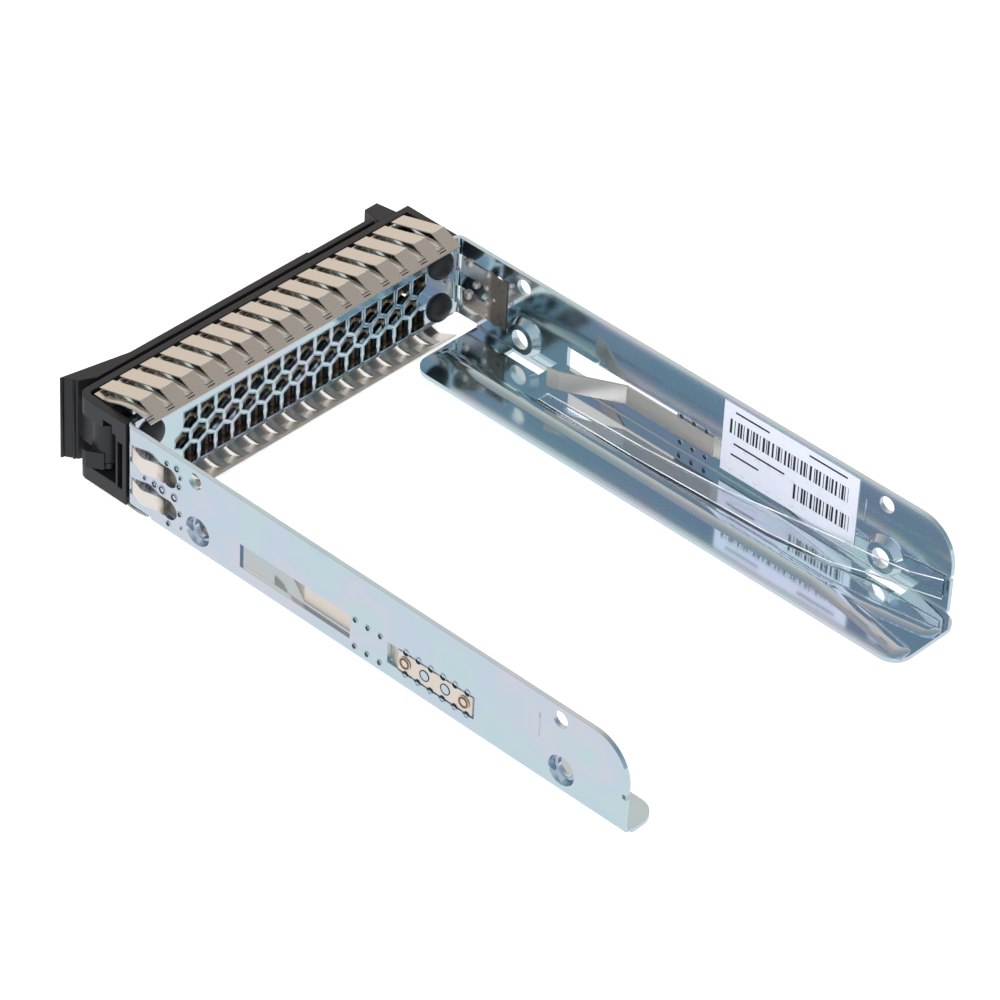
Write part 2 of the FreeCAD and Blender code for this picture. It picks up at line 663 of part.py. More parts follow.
# Finger strips: wide spring fingers with narrow ties between them, on one foot and one rear band.
gap_width = S["finger_pitch"] - S["finger_width"]
foot_top = S["web_top"] + S["slack"] + S["finger_gauge"]
finger_count = 16
rise = crest_height - foot_top
fall = (crest_height - band_height) / (S["band_place"] - S["crest_place"])
band_front = (S["band_place"] - S["band_width"], band_height + fall * S["band_width"])
finger_line = [(S["tip_place"], tip_height), (S["crest_place"], crest_height),
               (S["band_place"], band_height)]
tie_line = [(S["bar_rear"] - S["slack"], foot_top), (S["bar_rear"] + S["tie_foot"], foot_top),
            (S["crest_place"] - S["tie_bow"], foot_top + rise * 0.42),
            (S["crest_place"], foot_top + rise * 0.64), band_front, (S["band_place"], band_height)]


def sheet_loop(line):
    """Section of a thin bent sheet with the line as its upper side."""
    return line + [(y, z - S["finger_gauge"]) for y, z in reversed(line)]


first_left = finger_first - S["finger_width"]
fingers = prism("fingers", "YZ_Plane", first_left, finger_first, [sheet_loop(finger_line)])
tie_from = finger_first + (gap_width - S["tie_width"]) / 2
prism("ties", "YZ_Plane", tie_from, tie_from + S["tie_width"], [sheet_loop(tie_line)], body=fingers)
repeat(fingers, "X_Axis", finger_count, S["finger_pitch"], backwards=True)
strip_end = finger_first - S["finger_pitch"] * (finger_count - 1) - S["finger_width"]
prism("band", "YZ_Plane", strip_end, tie_from + S["tie_width"],
      [sheet_loop([band_front, (S["band_place"], band_height)])], body=fingers)
foot_line = [(S["bar_front"], foot_top), (S["bar_rear"], foot_top)]
prism("foot", "YZ_Plane", strip_end + S["finger_pitch"] - gap_width, tie_from + S["tie_width"],
      [sheet_loop(foot_line)], body=fingers)
top_strip = finish("top_finger_strip", fingers)
bottom_strip = mirror("bottom_strip", top_strip, Vector(0, 0, 1), strip_middle + lift)
finish("bottom_finger_strip", bottom_strip, moved=False)

# Bezel: an open frame with side walls, hinge lugs, post lugs and air slots.
bezel_back = web_front - S["slack"] * 2
side_in = bezel_half - S["bezel_side"]
wall_in = S["bezel_front"] + S["bezel_wall"]
bezel_shell = prism("bezel_shell", "XY_Plane", S["bezel_low"], S["bezel_top"], [[
    (-bezel_half, bezel_back), (-bezel_half, S["bezel_front"]),
    (bezel_half, S["bezel_front"], S["bezel_round"]), (bezel_half, bezel_back),
    (side_in, bezel_back), (side_in, wall_in, S["bezel_round"] - S["bezel_wall"]),
    (-side_in, wall_in), (-side_in, bezel_back)]])
lug_high = S["web_top"] - S["gauge"] - S["fit"]
lug_low = S["web_low"] + S["gauge"] + S["fit"]
bezel_pieces = [bezel_shell]
bezel_posts = []
for name, side in (("near", 1), ("far", -1)):
    inner, outer = side * (screen_half + 0.6), side * (side_in + 0.3)
    low_x, high_x = (inner, outer) if side > 0 else (outer, inner)
    for level, middle, low, high in (("high", S["post_high"], S["post_high"] - 2.6, lug_high),
                                     ("low", S["post_low"], lug_low, S["post_low"] + 2.5)):
        bezel_pieces.append(block("%s_%s_lug" % (name, level), low_x, high_x, S["hub_rear"],
                                  bezel_back, low, high))
        x = side * post_place
        base = S["web_rear"] + S["slack"]
        bezel_posts.append(rod("%s_%s_post" % (name, level), "y", x, bezel_back - 0.5, middle,
                               S["post_bore"], base - bezel_back + 0.6))
        shoulder = S["stake_width"] * 0.8
        bezel_posts.append(rod("%s_%s_stake" % (name, level), "y", x, base, middle,
                               S["stake_width"], S["stake_height"] / 2, shoulder))
        bezel_posts.append(rod("%s_%s_crown" % (name, level), "y", x, base + S["stake_height"] / 2,
                               middle, shoulder, S["stake_height"] / 2, shoulder * 0.55))
hub_front = S["pivot_y"] - S["lug_reach"]
hub_back = S["pivot_y"] + S["lug_reach"]
bezel_pieces.append(block("upper_hinge_lug", hub_inner + S["fit"], side_in + 0.3, hub_front,
                          hub_back, S["hub_high"], lug_high))
bezel_pieces.append(block("lower_hinge_lug", hub_inner + S["fit"], side_in + 0.3, hub_front,
                          hub_back, lug_low, S["hub_low"]))
pin_low, pin_high = lug_low + 0.3, lug_high - 0.1
vent_count = 11
vent_half, vent_bevel = S["vent_width"] / 2, S["vent_width"] / 4
vent_x = S["vent_pitch"] * ((vent_count - 1) / 2)
vents = prism("vents", "XZ_Plane", S["lever_flare"], wall_in + 1, [[
    (vent_x - vent_half + vent_bevel, S["vent_low"]), (vent_x + vent_half - vent_bevel, S["vent_low"]),
    (vent_x + vent_half, S["vent_low"] + vent_bevel), (vent_x + vent_half, S["vent_high"] - vent_bevel),
    (vent_x + vent_half - vent_bevel, S["vent_high"]), (vent_x - vent_half + vent_bevel, S["vent_high"]),
    (vent_x - vent_half, S["vent_high"] - vent_bevel), (vent_x - vent_half, S["vent_low"] + vent_bevel)]])
repeat(vents, "X_Axis", vent_count, S["vent_pitch"], backwards=True)
bezel_cutters = [
    block("hinge_window", hub_inner, bezel_half + 1, S["bezel_front"] - 1,
          S["hub_rear"], S["hub_low"], S["hub_high"]),
    block("side_notch", side_in - 1, bezel_half + 1, S["pivot_y"] + 1.7, S["pivot_y"] + 3.8,
          S["hub_high"] - 0.5, S["hub_high"] + 1.5),
    block("side_slot", side_in - 0.2, bezel_half + 1, S["hub_rear"] + 0.4, bezel_back - 0.8,
          S["hub_low"] - 0.3, S["hub_high"] - 0.9),
    block("stem_slot", stem_place - S["stem_width"] - S["latch_travel"] - 0.2,
          stem_place + 0.2, S["bezel_front"] - 1, wall_in + 1, 0.8, 6.2),
    rod("lug_bore", "z", pivot_x, S["pivot_y"], pin_low - S["slack"],
        S["pin_width"] + S["pin_play"] * 2, pin_high - pin_low + 2),
    vents]
bezel_body = cut("bezel_body", join("bezel_blank", bezel_pieces), bezel_cutters)
finish("bezel", join("bezel", [bezel_body] + bezel_posts))

# Ejector lever: flared plate, arm, barrel on the pin and cam tooth.
lever_front = S["lever_back"] - S["lever_gauge"]
step_x = rail_out - S["lever_step"]
arm_low, arm_high = S["hub_low"] + S["arm_drop"], S["hub_high"] - S["fit"]
lever_plate = prism("lever_plate", "XY_Plane", S["lever_low"], S["lever_top"], [[
    (lever_far, S["lever_back"]), (lever_near - S["end_lead"] * 3, S["lever_back"]),
    (lever_near - S["end_lead"], S["lever_back"] - S["end_bevel"]),
    (lever_near, S["lever_flare"]), (flare_start, lever_front), (step_x, lever_front),
    (step_x, lever_front + S["lever_step_depth"]),
    (lever_far, lever_front + S["lever_step_depth"])]])
lever_arm = prism("lever_arm", "XY_Plane", arm_low, arm_high, [[
    (pivot_x - S["arm_reach"], S["lever_back"] - S["fit"]),
    (pivot_x - S["arm_reach"], S["pivot_y"]),
    (pivot_x + 2.3, S["pivot_y"]),
    (lever_near - S["end_lead"] * 1.2, S["lever_back"] - S["end_bevel"] * 0.9)]])
barrel = rod("barrel", "z", pivot_x, S["pivot_y"], arm_low, S["barrel_width"],
             arm_high - arm_low)
tooth_low = arm_low - S["tooth_drop"]
tooth_foot = pivot_x + S["barrel_width"] * 0.44
tooth = prism("tooth", "XY_Plane", tooth_low, tooth_low + S["tooth_height"], [[
    (tooth_foot, S["pivot_y"] - S["tooth_reach"] * 0.75),
    (pivot_x + S["tooth_reach"], S["pivot_y"] - S["tooth_reach"] * 0.45),
    (pivot_x + S["tooth_reach"], S["pivot_y"] - S["tooth_reach"] * 0.25),
    (tooth_foot, S["pivot_y"] + S["tooth_reach"] * 0.4)]])
lever_bore = rod("lever_bore", "z", pivot_x, S["pivot_y"], S["lever_low"],
                 S["pin_width"] + S["pin_play"] * 2, S["lever_top"] - S["lever_low"])
finish("ejector_lever", cut("ejector_lever", join("lever_blank", [lever_plate, lever_arm, barrel,
                                                                   tooth]), [lever_bore, vents]))
finish("lever_pin", rod("lever_pin", "z", pivot_x, S["pivot_y"], pin_low, S["pin_width"],
                        pin_high - pin_low))


def coil(name, radius, wire, turns, length):
    """A coil spring as one turned solid: a wavy sleeve with one wave for each turn."""
    radius, wire, length = size(radius), size(wire), size(length)
    step = length / turns
    outside, inside = [], []
    for turn in range(turns):
        outside += [(radius + wire / 6, step * turn), (radius + wire / 2, step * (turn + 0.5))]
        inside += [(radius - wire / 6, step * turn), (radius - wire / 2, step * (turn + 0.5))]
    ends = [(radius + wire / 6, length), (radius - wire / 6, length)]
    body = doc.addObject("PartDesign::Body", name)
    sketch = profile(body, name + "_outline", "XZ_Plane", 0, [outside + ends + inside[::-1]])
    turned = body.newObject("PartDesign::Revolution", name + "_turned")
    turned.Profile = sketch
    turned.ReferenceAxis = (sketch, ["V_Axis"])
    turned.Angle = 360
    doc.recompute()
    return body


torsion = coil("lever_spring", S["barrel_width"] * 0.35, S["wire"], 2, S["wire"] * 3.25)
place(torsion, pivot_x, S["pivot_y"], S["hub_low"] + 0.1)
finish("lever_spring", torsion)

# Release latch: thumb block outside, stem through the wall and a wider head behind it.
latch_block = prism("latch_block", "XY_Plane", S["lever_low"], S["lever_top"], [[
    (latch_outer, S["latch_back"]), (latch_outer + S["latch_bevel"], S["latch_front"]),
    (latch_inner - S["latch_bevel"], S["latch_front"]), (latch_inner, S["latch_back"])]])
stem = block("latch_stem", stem_place - S["stem_width"], stem_place,
             S["latch_back"] - 0.5, wall_in + 0.8, 1.0, 6.0)
latch_head = block("latch_head", stem_place - S["stem_width"] - 0.2, stem_place + 0.4,
                   wall_in + 0.3, wall_in + 2.9, 0.2, 6.8)
finish("release_latch", join("release_latch", [latch_block, stem, latch_head]))
head_outer = stem_place - S["stem_width"] - 0.2
spring_length = side_in + head_outer - 0.1
latch_coil = coil("latch_spring", S["wire"] * 2.25, S["wire"] * 0.75, 4, spring_length)
latch_coil.Placement.Rotation = TURN["x"]
place(latch_coil, -side_in + S["slack"], wall_in + 1.7, 3.5)
finish("latch_spring", latch_coil)

# Side contacts: a base inside the rail and two fingers that turn back outside it.
inner_line = rail_in.value - S["slack"].value - S["contact_gauge"].value / 2
outer_line = rail_out.value + S["slack"].value + S["contact_gauge"].value / 2
bulge = outer_line + S["contact_bulge"].value - S["contact_gauge"].value
turn_y = S["web_rear"].value + 0.6
hole_y = S["contact_hole_place"].value
finger_path = [(inner_line, hole_y + 2.0), (inner_line, turn_y + 1.0), (inner_line + 0.2, turn_y + 0.3),
               (inner_line + 0.7, turn_y), (outer_line - 0.1, turn_y + 0.5),
               (bulge, turn_y + 3.0), (bulge, turn_y + 3.8),
               (outer_line, hole_y - 2.2), (outer_line, hole_y - 0.9)]
base_low = S["contact_low"].value - S["contact_width"].value / 2
base_high = S["contact_high"].value + S["contact_width"].value / 2
for side, name in ((1, "near"), (-1, "far")):
    half = S["contact_width"].value / 2
    pieces = [ribbon([(inner_line, hole_y - 1.5), (inner_line, hole_y + 2.2)],
                     S["contact_gauge"].value, base_low, base_high, side)]
    for z in (S["contact_low"].value, S["contact_high"].value):
        pieces.append(ribbon(finger_path, S["contact_gauge"].value, z - half, z + half, side))
    fused = pieces[0].multiFuse(pieces[1:]).removeSplitter()
    finish(name + "_side_contact", solid(name + "_side_contact", fused))

# Leaf springs: seated outside, through the rail, along its inner face and into the drive bay.
seat_line = rail_out.value - S["pocket_depth"].value / 2
flat_line = rail_in.value - S["slack"].value - S["spring_gauge"].value / 2
leaf_path = [(seat_line, S["spring_tail"].value), (seat_line, S["spring_slot_rear"].value + 0.1),
             (flat_line, S["spring_slot_front"].value + 0.3), (flat_line, S["spring_bend"].value),
             (flat_line - S["spring_reach"].value, S["spring_crest"].value),
             (flat_line - S["spring_reach"].value - S["spring_tip_rise"].value,
              S["spring_tip"].value)]
for side, name in ((1, "near"), (-1, "far")):
    leaf = ribbon(leaf_path, S["spring_gauge"].value, spring_low.value, spring_high.value, side)
    for which, y in rivet_places:
        hole = Part.makeCylinder((S["rivet_bore"].value + S["slack"].value) / 2, 2,
                                 Vector(side * (rail_in.value + 0.5) - 1, y.value,
                                        S["spring_middle"].value), Vector(1, 0, 0))
        leaf = leaf.cut(hole)
    finish(name + "_leaf_spring", solid(name + "_leaf_spring", leaf))
    for which, y in rivet_places:
        label = "%s_%s_rivet" % (name, which)
        outer_head = rail_out + S["slack"]
        inner_end = rail_in + S["slack"]
        z = S["spring_middle"]
        parts = []
        for piece, start, length, width in (
                ("shank", inner_end, outer_head - inner_end + S["rivet_head_height"] * 0.5,
                 S["rivet_bore"]),
                ("outer_head", outer_head, S["rivet_head_height"] * 0.6, S["rivet_head"])):
            begin = start if side > 0 else -start - length
            parts.append(rod("%s_%s" % (label, piece), "x", begin, y, z, width, length))
        finish(label, join(label, parts))

# Label on the far rail, and the clear light pipe that climbs from the flange to the rear end.
finish("label", block("label", -rail_in + S["slack"], -rail_in + S["slack"] + S["label_gauge"],
                      S["label_front"], S["label_rear"], S["label_low"], S["label_high"]))
wall_face, floor_face = -rail_in.value + S["slack"].value, flange_top.value + S["slack"].value
bead_edge = -(bead_middle + S["bead_width"] / 2 + 0.3).value
boss_face = -S["drive_width"].value / 2 + S["slack"].value * 2
rear_screw = S["screw_spacing"].value
stations = [  # place along the caddy, then the outer and the inner edge of the strip there
    (10.0, (bead_edge - 2.2, floor_face), (bead_edge, floor_face)),
    (30.0, (bead_edge - 3.0, floor_face), (bead_edge, floor_face)),
    (46.0, (bead_edge - 4.4, floor_face), (bead_edge - 0.7, floor_face)),
    (58.0, (wall_face + 1.2, floor_face + 0.5), (bead_edge - 1.2, floor_face)),
    (rear_screw - 7, (boss_face, floor_face + 2.4), (bead_edge - 3.0, floor_face)),
    (rear_screw, (boss_face, floor_face + 3.6), (boss_face + 0.8, floor_face + 0.6)),
    (rear_screw + 6, (boss_face, floor_face + 4.6), (boss_face, floor_face + 1.4)),
    (S["rail_rear"].value - 0.8, (wall_face + 0.3, floor_face + 5.9),
     (wall_face + 0.3, floor_face + 2.2))]
sections = []
for y, outer, inner in stations:
    outer, inner = Vector(outer[0], y, outer[1]), Vector(inner[0], y, inner[1])
    lifted = (inner - outer).cross(Vector(0, 1, 0)).normalize() * S["pipe_gauge"].value
    sections.append(Part.makePolygon([outer, inner, inner + lifted, outer + lifted, outer]))
finish("light_pipe", solid("light_pipe", Part.makeLoft(sections, True, True)))

doc.recompute()
for thing in doc.Objects:
    if "Invalid" in thing.State or "Error" in thing.State:
        raise RuntimeError("%s failed: %s" % (thing.Label, thing.State))
for thing in finished:
    if thing.Shape.isNull() or not thing.Shape.isValid():
        raise RuntimeError("%s has no valid shape" % thing.Label)
    if len(thing.Shape.Solids) != 1:
        raise RuntimeError("%s has %d solids" % (thing.Label, len(thing.Shape.Solids)))
os.makedirs("parts", exist_ok=True)
for thing in finished:
    thing.Shape.exportStep("parts/%s.step" % thing.Label)
    box = thing.Shape.optimalBoundingBox(False)
    print("%-20s x %7.2f %7.2f  y %7.2f %7.2f  z %7.2f %7.2f  volume %.1f" % (
        thing.Label, box.XMin, box.XMax, box.YMin, box.YMax, box.ZMin, box.ZMax,
        thing.Shape.Volume))
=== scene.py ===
# %% [markdown]
# The frame: every solid of the caddy arrives at its true size and place, in metres. The pieces that
# only carry looks are added round it. The first job is to load it.

# %% Load the imported caddy
import math

import bmesh
import bpy
from mathutils import Matrix, Vector


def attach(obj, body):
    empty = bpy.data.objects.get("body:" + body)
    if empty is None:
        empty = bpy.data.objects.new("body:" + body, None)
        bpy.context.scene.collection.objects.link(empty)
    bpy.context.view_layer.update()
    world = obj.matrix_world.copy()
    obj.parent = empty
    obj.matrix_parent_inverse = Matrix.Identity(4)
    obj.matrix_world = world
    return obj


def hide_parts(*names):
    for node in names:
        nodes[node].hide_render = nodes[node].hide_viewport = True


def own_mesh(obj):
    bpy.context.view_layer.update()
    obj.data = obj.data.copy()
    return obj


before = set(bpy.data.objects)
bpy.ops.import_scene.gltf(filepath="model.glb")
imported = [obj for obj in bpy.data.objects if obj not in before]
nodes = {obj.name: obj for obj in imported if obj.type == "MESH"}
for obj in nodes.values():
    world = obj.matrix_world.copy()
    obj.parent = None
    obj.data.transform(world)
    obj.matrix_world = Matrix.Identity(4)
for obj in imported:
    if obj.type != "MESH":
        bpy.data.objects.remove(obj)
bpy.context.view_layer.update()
MM = 0.001

# %% [markdown]
# The camera is a long lens from behind the near rail, looking down at about 38 degrees, with a
# slight roll. Its direction, distance and lens were worked out from the screw holes and edges
# of the rails. A long lens keeps the two rails nearly parallel, as they are in the photograph.

# %% Camera at the photograph's place
AZIMUTH, ELEVATION, ROLL = math.radians(131.83), math.radians(38.40), math.radians(3.03)
TARGET = Vector((-2.62, -3.61, 7.3)) * MM
DISTANCE = 864.1 * MM
FOCAL_MM, SENSOR_MM, NEAREST = 200.6, 36.0, 0.01
level = math.cos(ELEVATION)
back = Vector((math.sin(AZIMUTH) * level, -math.cos(AZIMUTH) * level, math.sin(ELEVATION)))
right = (-back).cross(Vector((0, 0, 1))).normalized()
up = right.cross(-back)
right_rolled = math.cos(ROLL) * right + math.sin(ROLL) * up
up_rolled = -math.sin(ROLL) * right + math.cos(ROLL) * up
lens = bpy.data.cameras.new("camera")
lens.lens = FOCAL_MM
lens.sensor_width = SENSOR_MM
lens.clip_start = NEAREST
camera = bpy.data.objects.new("camera", lens)
turn = Matrix((right_rolled, up_rolled, back)).transposed().to_4x4()
camera.matrix_world = Matrix.Translation(TARGET + back * DISTANCE) @ turn
scene = bpy.context.scene
scene.collection.objects.link(camera)
scene.camera = camera
print("camera at", [round(v, 3) for v in camera.location])

# %% [markdown]
# Small helpers serve every finish. The first turns the sRGB hex colour that an eye reads off a
# picture into the linear numbers that a shader works with. The second adds a node with its
# settings and links, so that a material reads as a list. The third starts a material.


# %% Helpers for colours and nodes
def linear(hexa):
    """An sRGB hex colour as linear red, green, blue and alpha."""
    parts = [int(hexa[i:i + 2], 16) / 255 for i in (1, 3, 5)]
    return tuple(p / 12.92 if p <= 0.04045 else ((p + 0.055) / 1.055) ** 2.4 for p in parts) + (1,)


def add(tree, kind, inputs=None, links=None, stops=(), **settings):
    """Adds a node with settings, input values, links from other outputs and stops of a ramp."""
    node = tree.nodes.new(kind)
    for name, value in settings.items():
        setattr(node, name, value)
    for key, value in (inputs or {}).items():
        node.inputs[key].default_value = value
    for key, output in (links or {}).items():
        tree.links.new(output, node.inputs[key])
    if stops:
        points = node.color_ramp.elements
        for point, (position, colour) in zip(points, (stops[0], stops[-1])):
            point.position, point.color = position, linear(colour)
        for position, colour in stops[1:-1]:
            points.new(position).color = linear(colour)
    return node


def material(name, **sockets):
    """A material with numbers and colours set on its shader, its node tree and its shader."""
    made = bpy.data.materials.new(name)
    made.use_nodes = True
    shader = made.node_tree.nodes["Principled BSDF"]
    for socket, value in sockets.items():
        shader.inputs[socket.replace("_", " ")].default_value = value
    return made, made.node_tree, shader


print("a mid grey of #808080 is", round(linear("#808080")[0], 3), "in linear light")

# %% [markdown]
# Two more helpers finish a piece. No real surface is equally rough all over, so one lets the
# roughness drift with noise. The other gives a finish to solids that came with the frame.


# %% Helpers for surfaces
def uneven(tree, shader, scale, low, high):
    """Lets the roughness drift between two values. The scale counts the patches to the metre."""
    spot = add(tree, "ShaderNodeTexCoord").outputs["Object"]
    noise = add(tree, "ShaderNodeTexNoise", {"Scale": scale, "Detail": 2.0}, {"Vector": spot})
    drift = noise.outputs["Fac"]
    rough = add(tree, "ShaderNodeMapRange", {"To Min": low, "To Max": high}, {"Value": drift})
    tree.links.new(rough.outputs[0], shader.inputs["Roughness"])
    return drift


def dress(made, *names):
    """Gives a material to every slot of solids from the frame."""
    for name in names:
        for slot in nodes[name].material_slots:
            slot.material = made
    print(made.name, "on", ", ".join(names))


print("solids in the frame:", len(nodes))

# %% [markdown]
# The studio: polished zinc shows its surroundings more than its own colour. The photographer had
# a bright wall behind the front of the caddy and a darker room behind the camera's left, which
# turns the inside of the far rail slate blue. One dot product with the direction of the bright
# wall gives both from a single ramp. The background that the camera sees is plain white.

# %% World
BRIGHT_WALL = (-0.583, -0.769, 0.254)
ROOM = [(0.0, "#c6d0d9"), (0.30, "#bbc6d0"), (0.42, "#a3b2be"), (0.54, "#8c9dac"),
        (0.62, "#97a8b6"), (0.68, "#a9adb0"), (0.74, "#b2afab"), (0.86, "#d2cdc6"), (1.0, "#f0ebe3")]
WHITE = (1, 1, 1, 1)


def by_ray(tree, seen, mirrored, lit):
    """One shader for the camera and clear plastic, one for metal and one for all other light."""
    rays = add(tree, "ShaderNodeLightPath").outputs
    shine = add(tree, "ShaderNodeMixShader", links={
        0: rays["Is Glossy Ray"], 1: lit.outputs[0], 2: mirrored.outputs[0]})
    straight = add(tree, "ShaderNodeMath", links={
        0: rays["Is Camera Ray"], 1: rays["Is Transmission Ray"]}, operation="MAXIMUM")
    return add(tree, "ShaderNodeMixShader", links={
        0: straight.outputs[0], 1: shine.outputs[0], 2: seen.outputs[0]})


scene.view_settings.view_transform = "Standard"
world = bpy.data.worlds.new("studio")
scene.world = world
world.use_nodes = True
tree = world.node_tree
tree.nodes.clear()
place = add(tree, "ShaderNodeTexCoord").outputs["Generated"]
toward = add(tree, "ShaderNodeVectorMath", {1: BRIGHT_WALL}, {0: place}, operation="DOT_PRODUCT")
share = add(tree, "ShaderNodeMapRange", {"From Min": -1.0, "From Max": 1.0},
            {"Value": toward.outputs["Value"]})
room = add(tree, "ShaderNodeValToRGB", links={0: share.outputs[0]}, stops=ROOM)
mirrored = add(tree, "ShaderNodeBackground", {"Strength": 1.0}, {"Color": room.outputs["Color"]})
lit = add(tree, "ShaderNodeBackground", {"Color": linear("#f2f4f7"), "Strength": 1.1})
plain = add(tree, "ShaderNodeBackground", {"Color": WHITE, "Strength": 1.0})
add(tree, "ShaderNodeOutputWorld", links={
    "Surface": by_ray(tree, plain, mirrored, lit).outputs[0]})
print("a room of", len(ROOM), "greys, brightest towards", BRIGHT_WALL)

# %% [markdown]
# The floor is a white sweep. The camera sees it as white with only a breath of shadow, so its
# material adds a glow to a diffuse card. Metal sees it as a bright card.

# %% Floor
FLOOR_REACH = 3.0
sheet = bmesh.new()
bmesh.ops.create_grid(sheet, x_segments=1, y_segments=1, size=FLOOR_REACH)
floor_mesh = bpy.data.meshes.new("floor")
sheet.to_mesh(floor_mesh)
sheet.free()
floor = bpy.data.objects.new("floor", floor_mesh)
scene.collection.objects.link(floor)
floor_paint, tree, shader = material("white_sweep_paper")
tree.nodes.remove(shader)
card = add(tree, "ShaderNodeBsdfDiffuse", {"Color": (0.75, 0.76, 0.78, 1)})
glow = add(tree, "ShaderNodeEmission", {"Color": WHITE, "Strength": 0.5})
both = add(tree, "ShaderNodeAddShader", links={0: card.outputs[0], 1: glow.outputs[0]})
bright = add(tree, "ShaderNodeEmission", {"Color": linear("#f4f7fa"), "Strength": 0.95})
tree.links.new(by_ray(tree, both, bright, card).outputs[0],
               tree.nodes["Material Output"].inputs["Surface"])
floor_mesh.materials.append(floor_paint)
print("floor of", 2 * FLOOR_REACH, "m")

# %% [markdown]
# Two large soft boxes give form to the black moulding and the label. The metal's reflections
# come from the room alone, so that no shiny face shows a hard lamp.

# %% Soft boxes
AIM = Vector((0, 0, 0.01))


def soft_box(name, at, size, watts):
    """A square soft box that faces the caddy."""
    light = bpy.data.lights.new(name, "AREA")
    light.shape = "SQUARE"
    light.size = size
    light.energy = watts
    box = bpy.data.objects.new(name, light)
    box.location = at
    box.rotation_euler = (AIM - Vector(at)).to_track_quat("-Z", "Y").to_euler()
    box.visible_glossy = False
    scene.collection.objects.link(box)
    white_share = watts / (math.pi * Vector(at).length) ** 2
    print(name, "lights the caddy to", round(white_share, 2), "of white")


soft_box("front_box", (-0.9, -1.1, 0.75), 1.0, 2.6)
soft_box("side_box", (1.1, 0.7, 0.9), 0.9, 13.0)

# %% [markdown]
# The tray: sheet steel, zinc plated and blue passivated after folding. The plating is a few
# thousandths of a millimetre thick, so faint pink and green drift over it, in patches some 15 mm
# across. The rolled sheet keeps fine streaks along its length. Both come from noise.

# %% Zinc plated steel, rolled
ZINC_TINTS = [(0.30, "#c8dde4"), (0.44, "#cfe1e5"), (0.52, "#d0dde8"), (0.60, "#dadce7"),
              (0.72, "#cbe2e3")]
zinc, tree, shader = material("zinc_plated_steel_rolled", Metallic=1.0)
spot = add(tree, "ShaderNodeTexCoord").outputs["Object"]
# 65 patches of tint to the metre are 15 mm each
cloud = add(tree, "ShaderNodeTexNoise", {"Scale": 65.0, "Detail": 2.0}, {"Vector": spot})
tint = add(tree, "ShaderNodeValToRGB", links={0: cloud.outputs["Fac"]}, stops=ZINC_TINTS)
tree.links.new(tint.outputs["Color"], shader.inputs["Base Color"])
# rolling streaks 0.3 mm apart across the sheet and 25 mm long
stretch = add(tree, "ShaderNodeMapping", {"Scale": (3300.0, 40.0, 3300.0)}, {"Vector": spot})
noise = add(tree, "ShaderNodeTexNoise", {"Scale": 1.0, "Detail": 2.0}, {"Vector": stretch.outputs[0]})
streaks = noise.outputs["Fac"]
rough = add(tree, "ShaderNodeMapRange", {"To Min": 0.05, "To Max": 0.13}, {"Value": streaks})
tree.links.new(rough.outputs[0], shader.inputs["Roughness"])
# the sheared edges are rounded by about a tenth of a millimetre
soft_edges = add(tree, "ShaderNodeBevel", {"Radius": 0.12 * MM}, samples=4)
bump = add(tree, "ShaderNodeBump", {"Strength": 0.03, "Distance": 0.05 * MM},
           {"Height": streaks, "Normal": soft_edges.outputs[0]})
tree.links.new(bump.outputs[0], shader.inputs["Normal"])
dress(zinc, "tray")


# %% [markdown]
# The springs: hard strip, nickel plated to a satin. Each spring finger is bent from bright strip
# whose grain runs along the caddy, so the roughness is streaked that way. One function makes this
# finish, because only its colour and its shine differ from piece to piece.

# %% Strip metals with a grain
def strip_finish(name, colour, low, high):
    """Strip metal with a grain along the caddy, as rough as the two values say."""
    made, tree, shader = material(name, Metallic=1.0, Base_Color=linear(colour))
    spot = add(tree, "ShaderNodeTexCoord").outputs["Object"]
    # grain lines a quarter of a millimetre apart and 5 mm long
    stretch = add(tree, "ShaderNodeMapping", {"Scale": (4000.0, 200.0, 4000.0)}, {"Vector": spot})
    grain = add(tree, "ShaderNodeTexNoise", {"Scale": 1.0, "Detail": 1.0},
                {"Vector": stretch.outputs[0]})
    rough = add(tree, "ShaderNodeMapRange", {"To Min": low, "To Max": high},
                {"Value": grain.outputs["Fac"]})
    tree.links.new(rough.outputs[0], shader.inputs["Roughness"])
    # each bend in the strip is rounded by a sixth of a millimetre
    bends = add(tree, "ShaderNodeBevel", {"Radius": 0.16 * MM}, samples=4)
    tree.links.new(bends.outputs[0], shader.inputs["Normal"])
    return made


dress(strip_finish("nickel_plated_spring_satin", "#ddd2c6", 0.25, 0.29), "top_finger_strip")
# the bottom strip is the same nickel as the top strip, painted lighter to stand in for the light on
# it
dress(strip_finish("nickel_plated_spring_painted_lighter", "#fbf3ea", 0.26, 0.32), "bottom_finger_strip")
dress(strip_finish("nickel_plated_screen_etched", "#a3927f", 0.22, 0.28), "inner_screen")
cream = strip_finish("nickel_plated_leaf_bright", "#f1e6da", 0.40, 0.46)
dress(cream, "near_leaf_spring", "far_leaf_spring", "near_front_rivet", "near_rear_rivet",
      "far_front_rivet", "far_rear_rivet")
# a painted highlight: a pale nickel for the crest of each finger, where the bend catches the light
crest_highlight = strip_finish("nickel_crest_painted_highlight", "#fffaf3", 0.28, 0.34)
# the rings round the rivets are bronze that went brown when they were set
bronze = strip_finish("bronze_browned_pressed", "#9c7350", 0.28, 0.40)
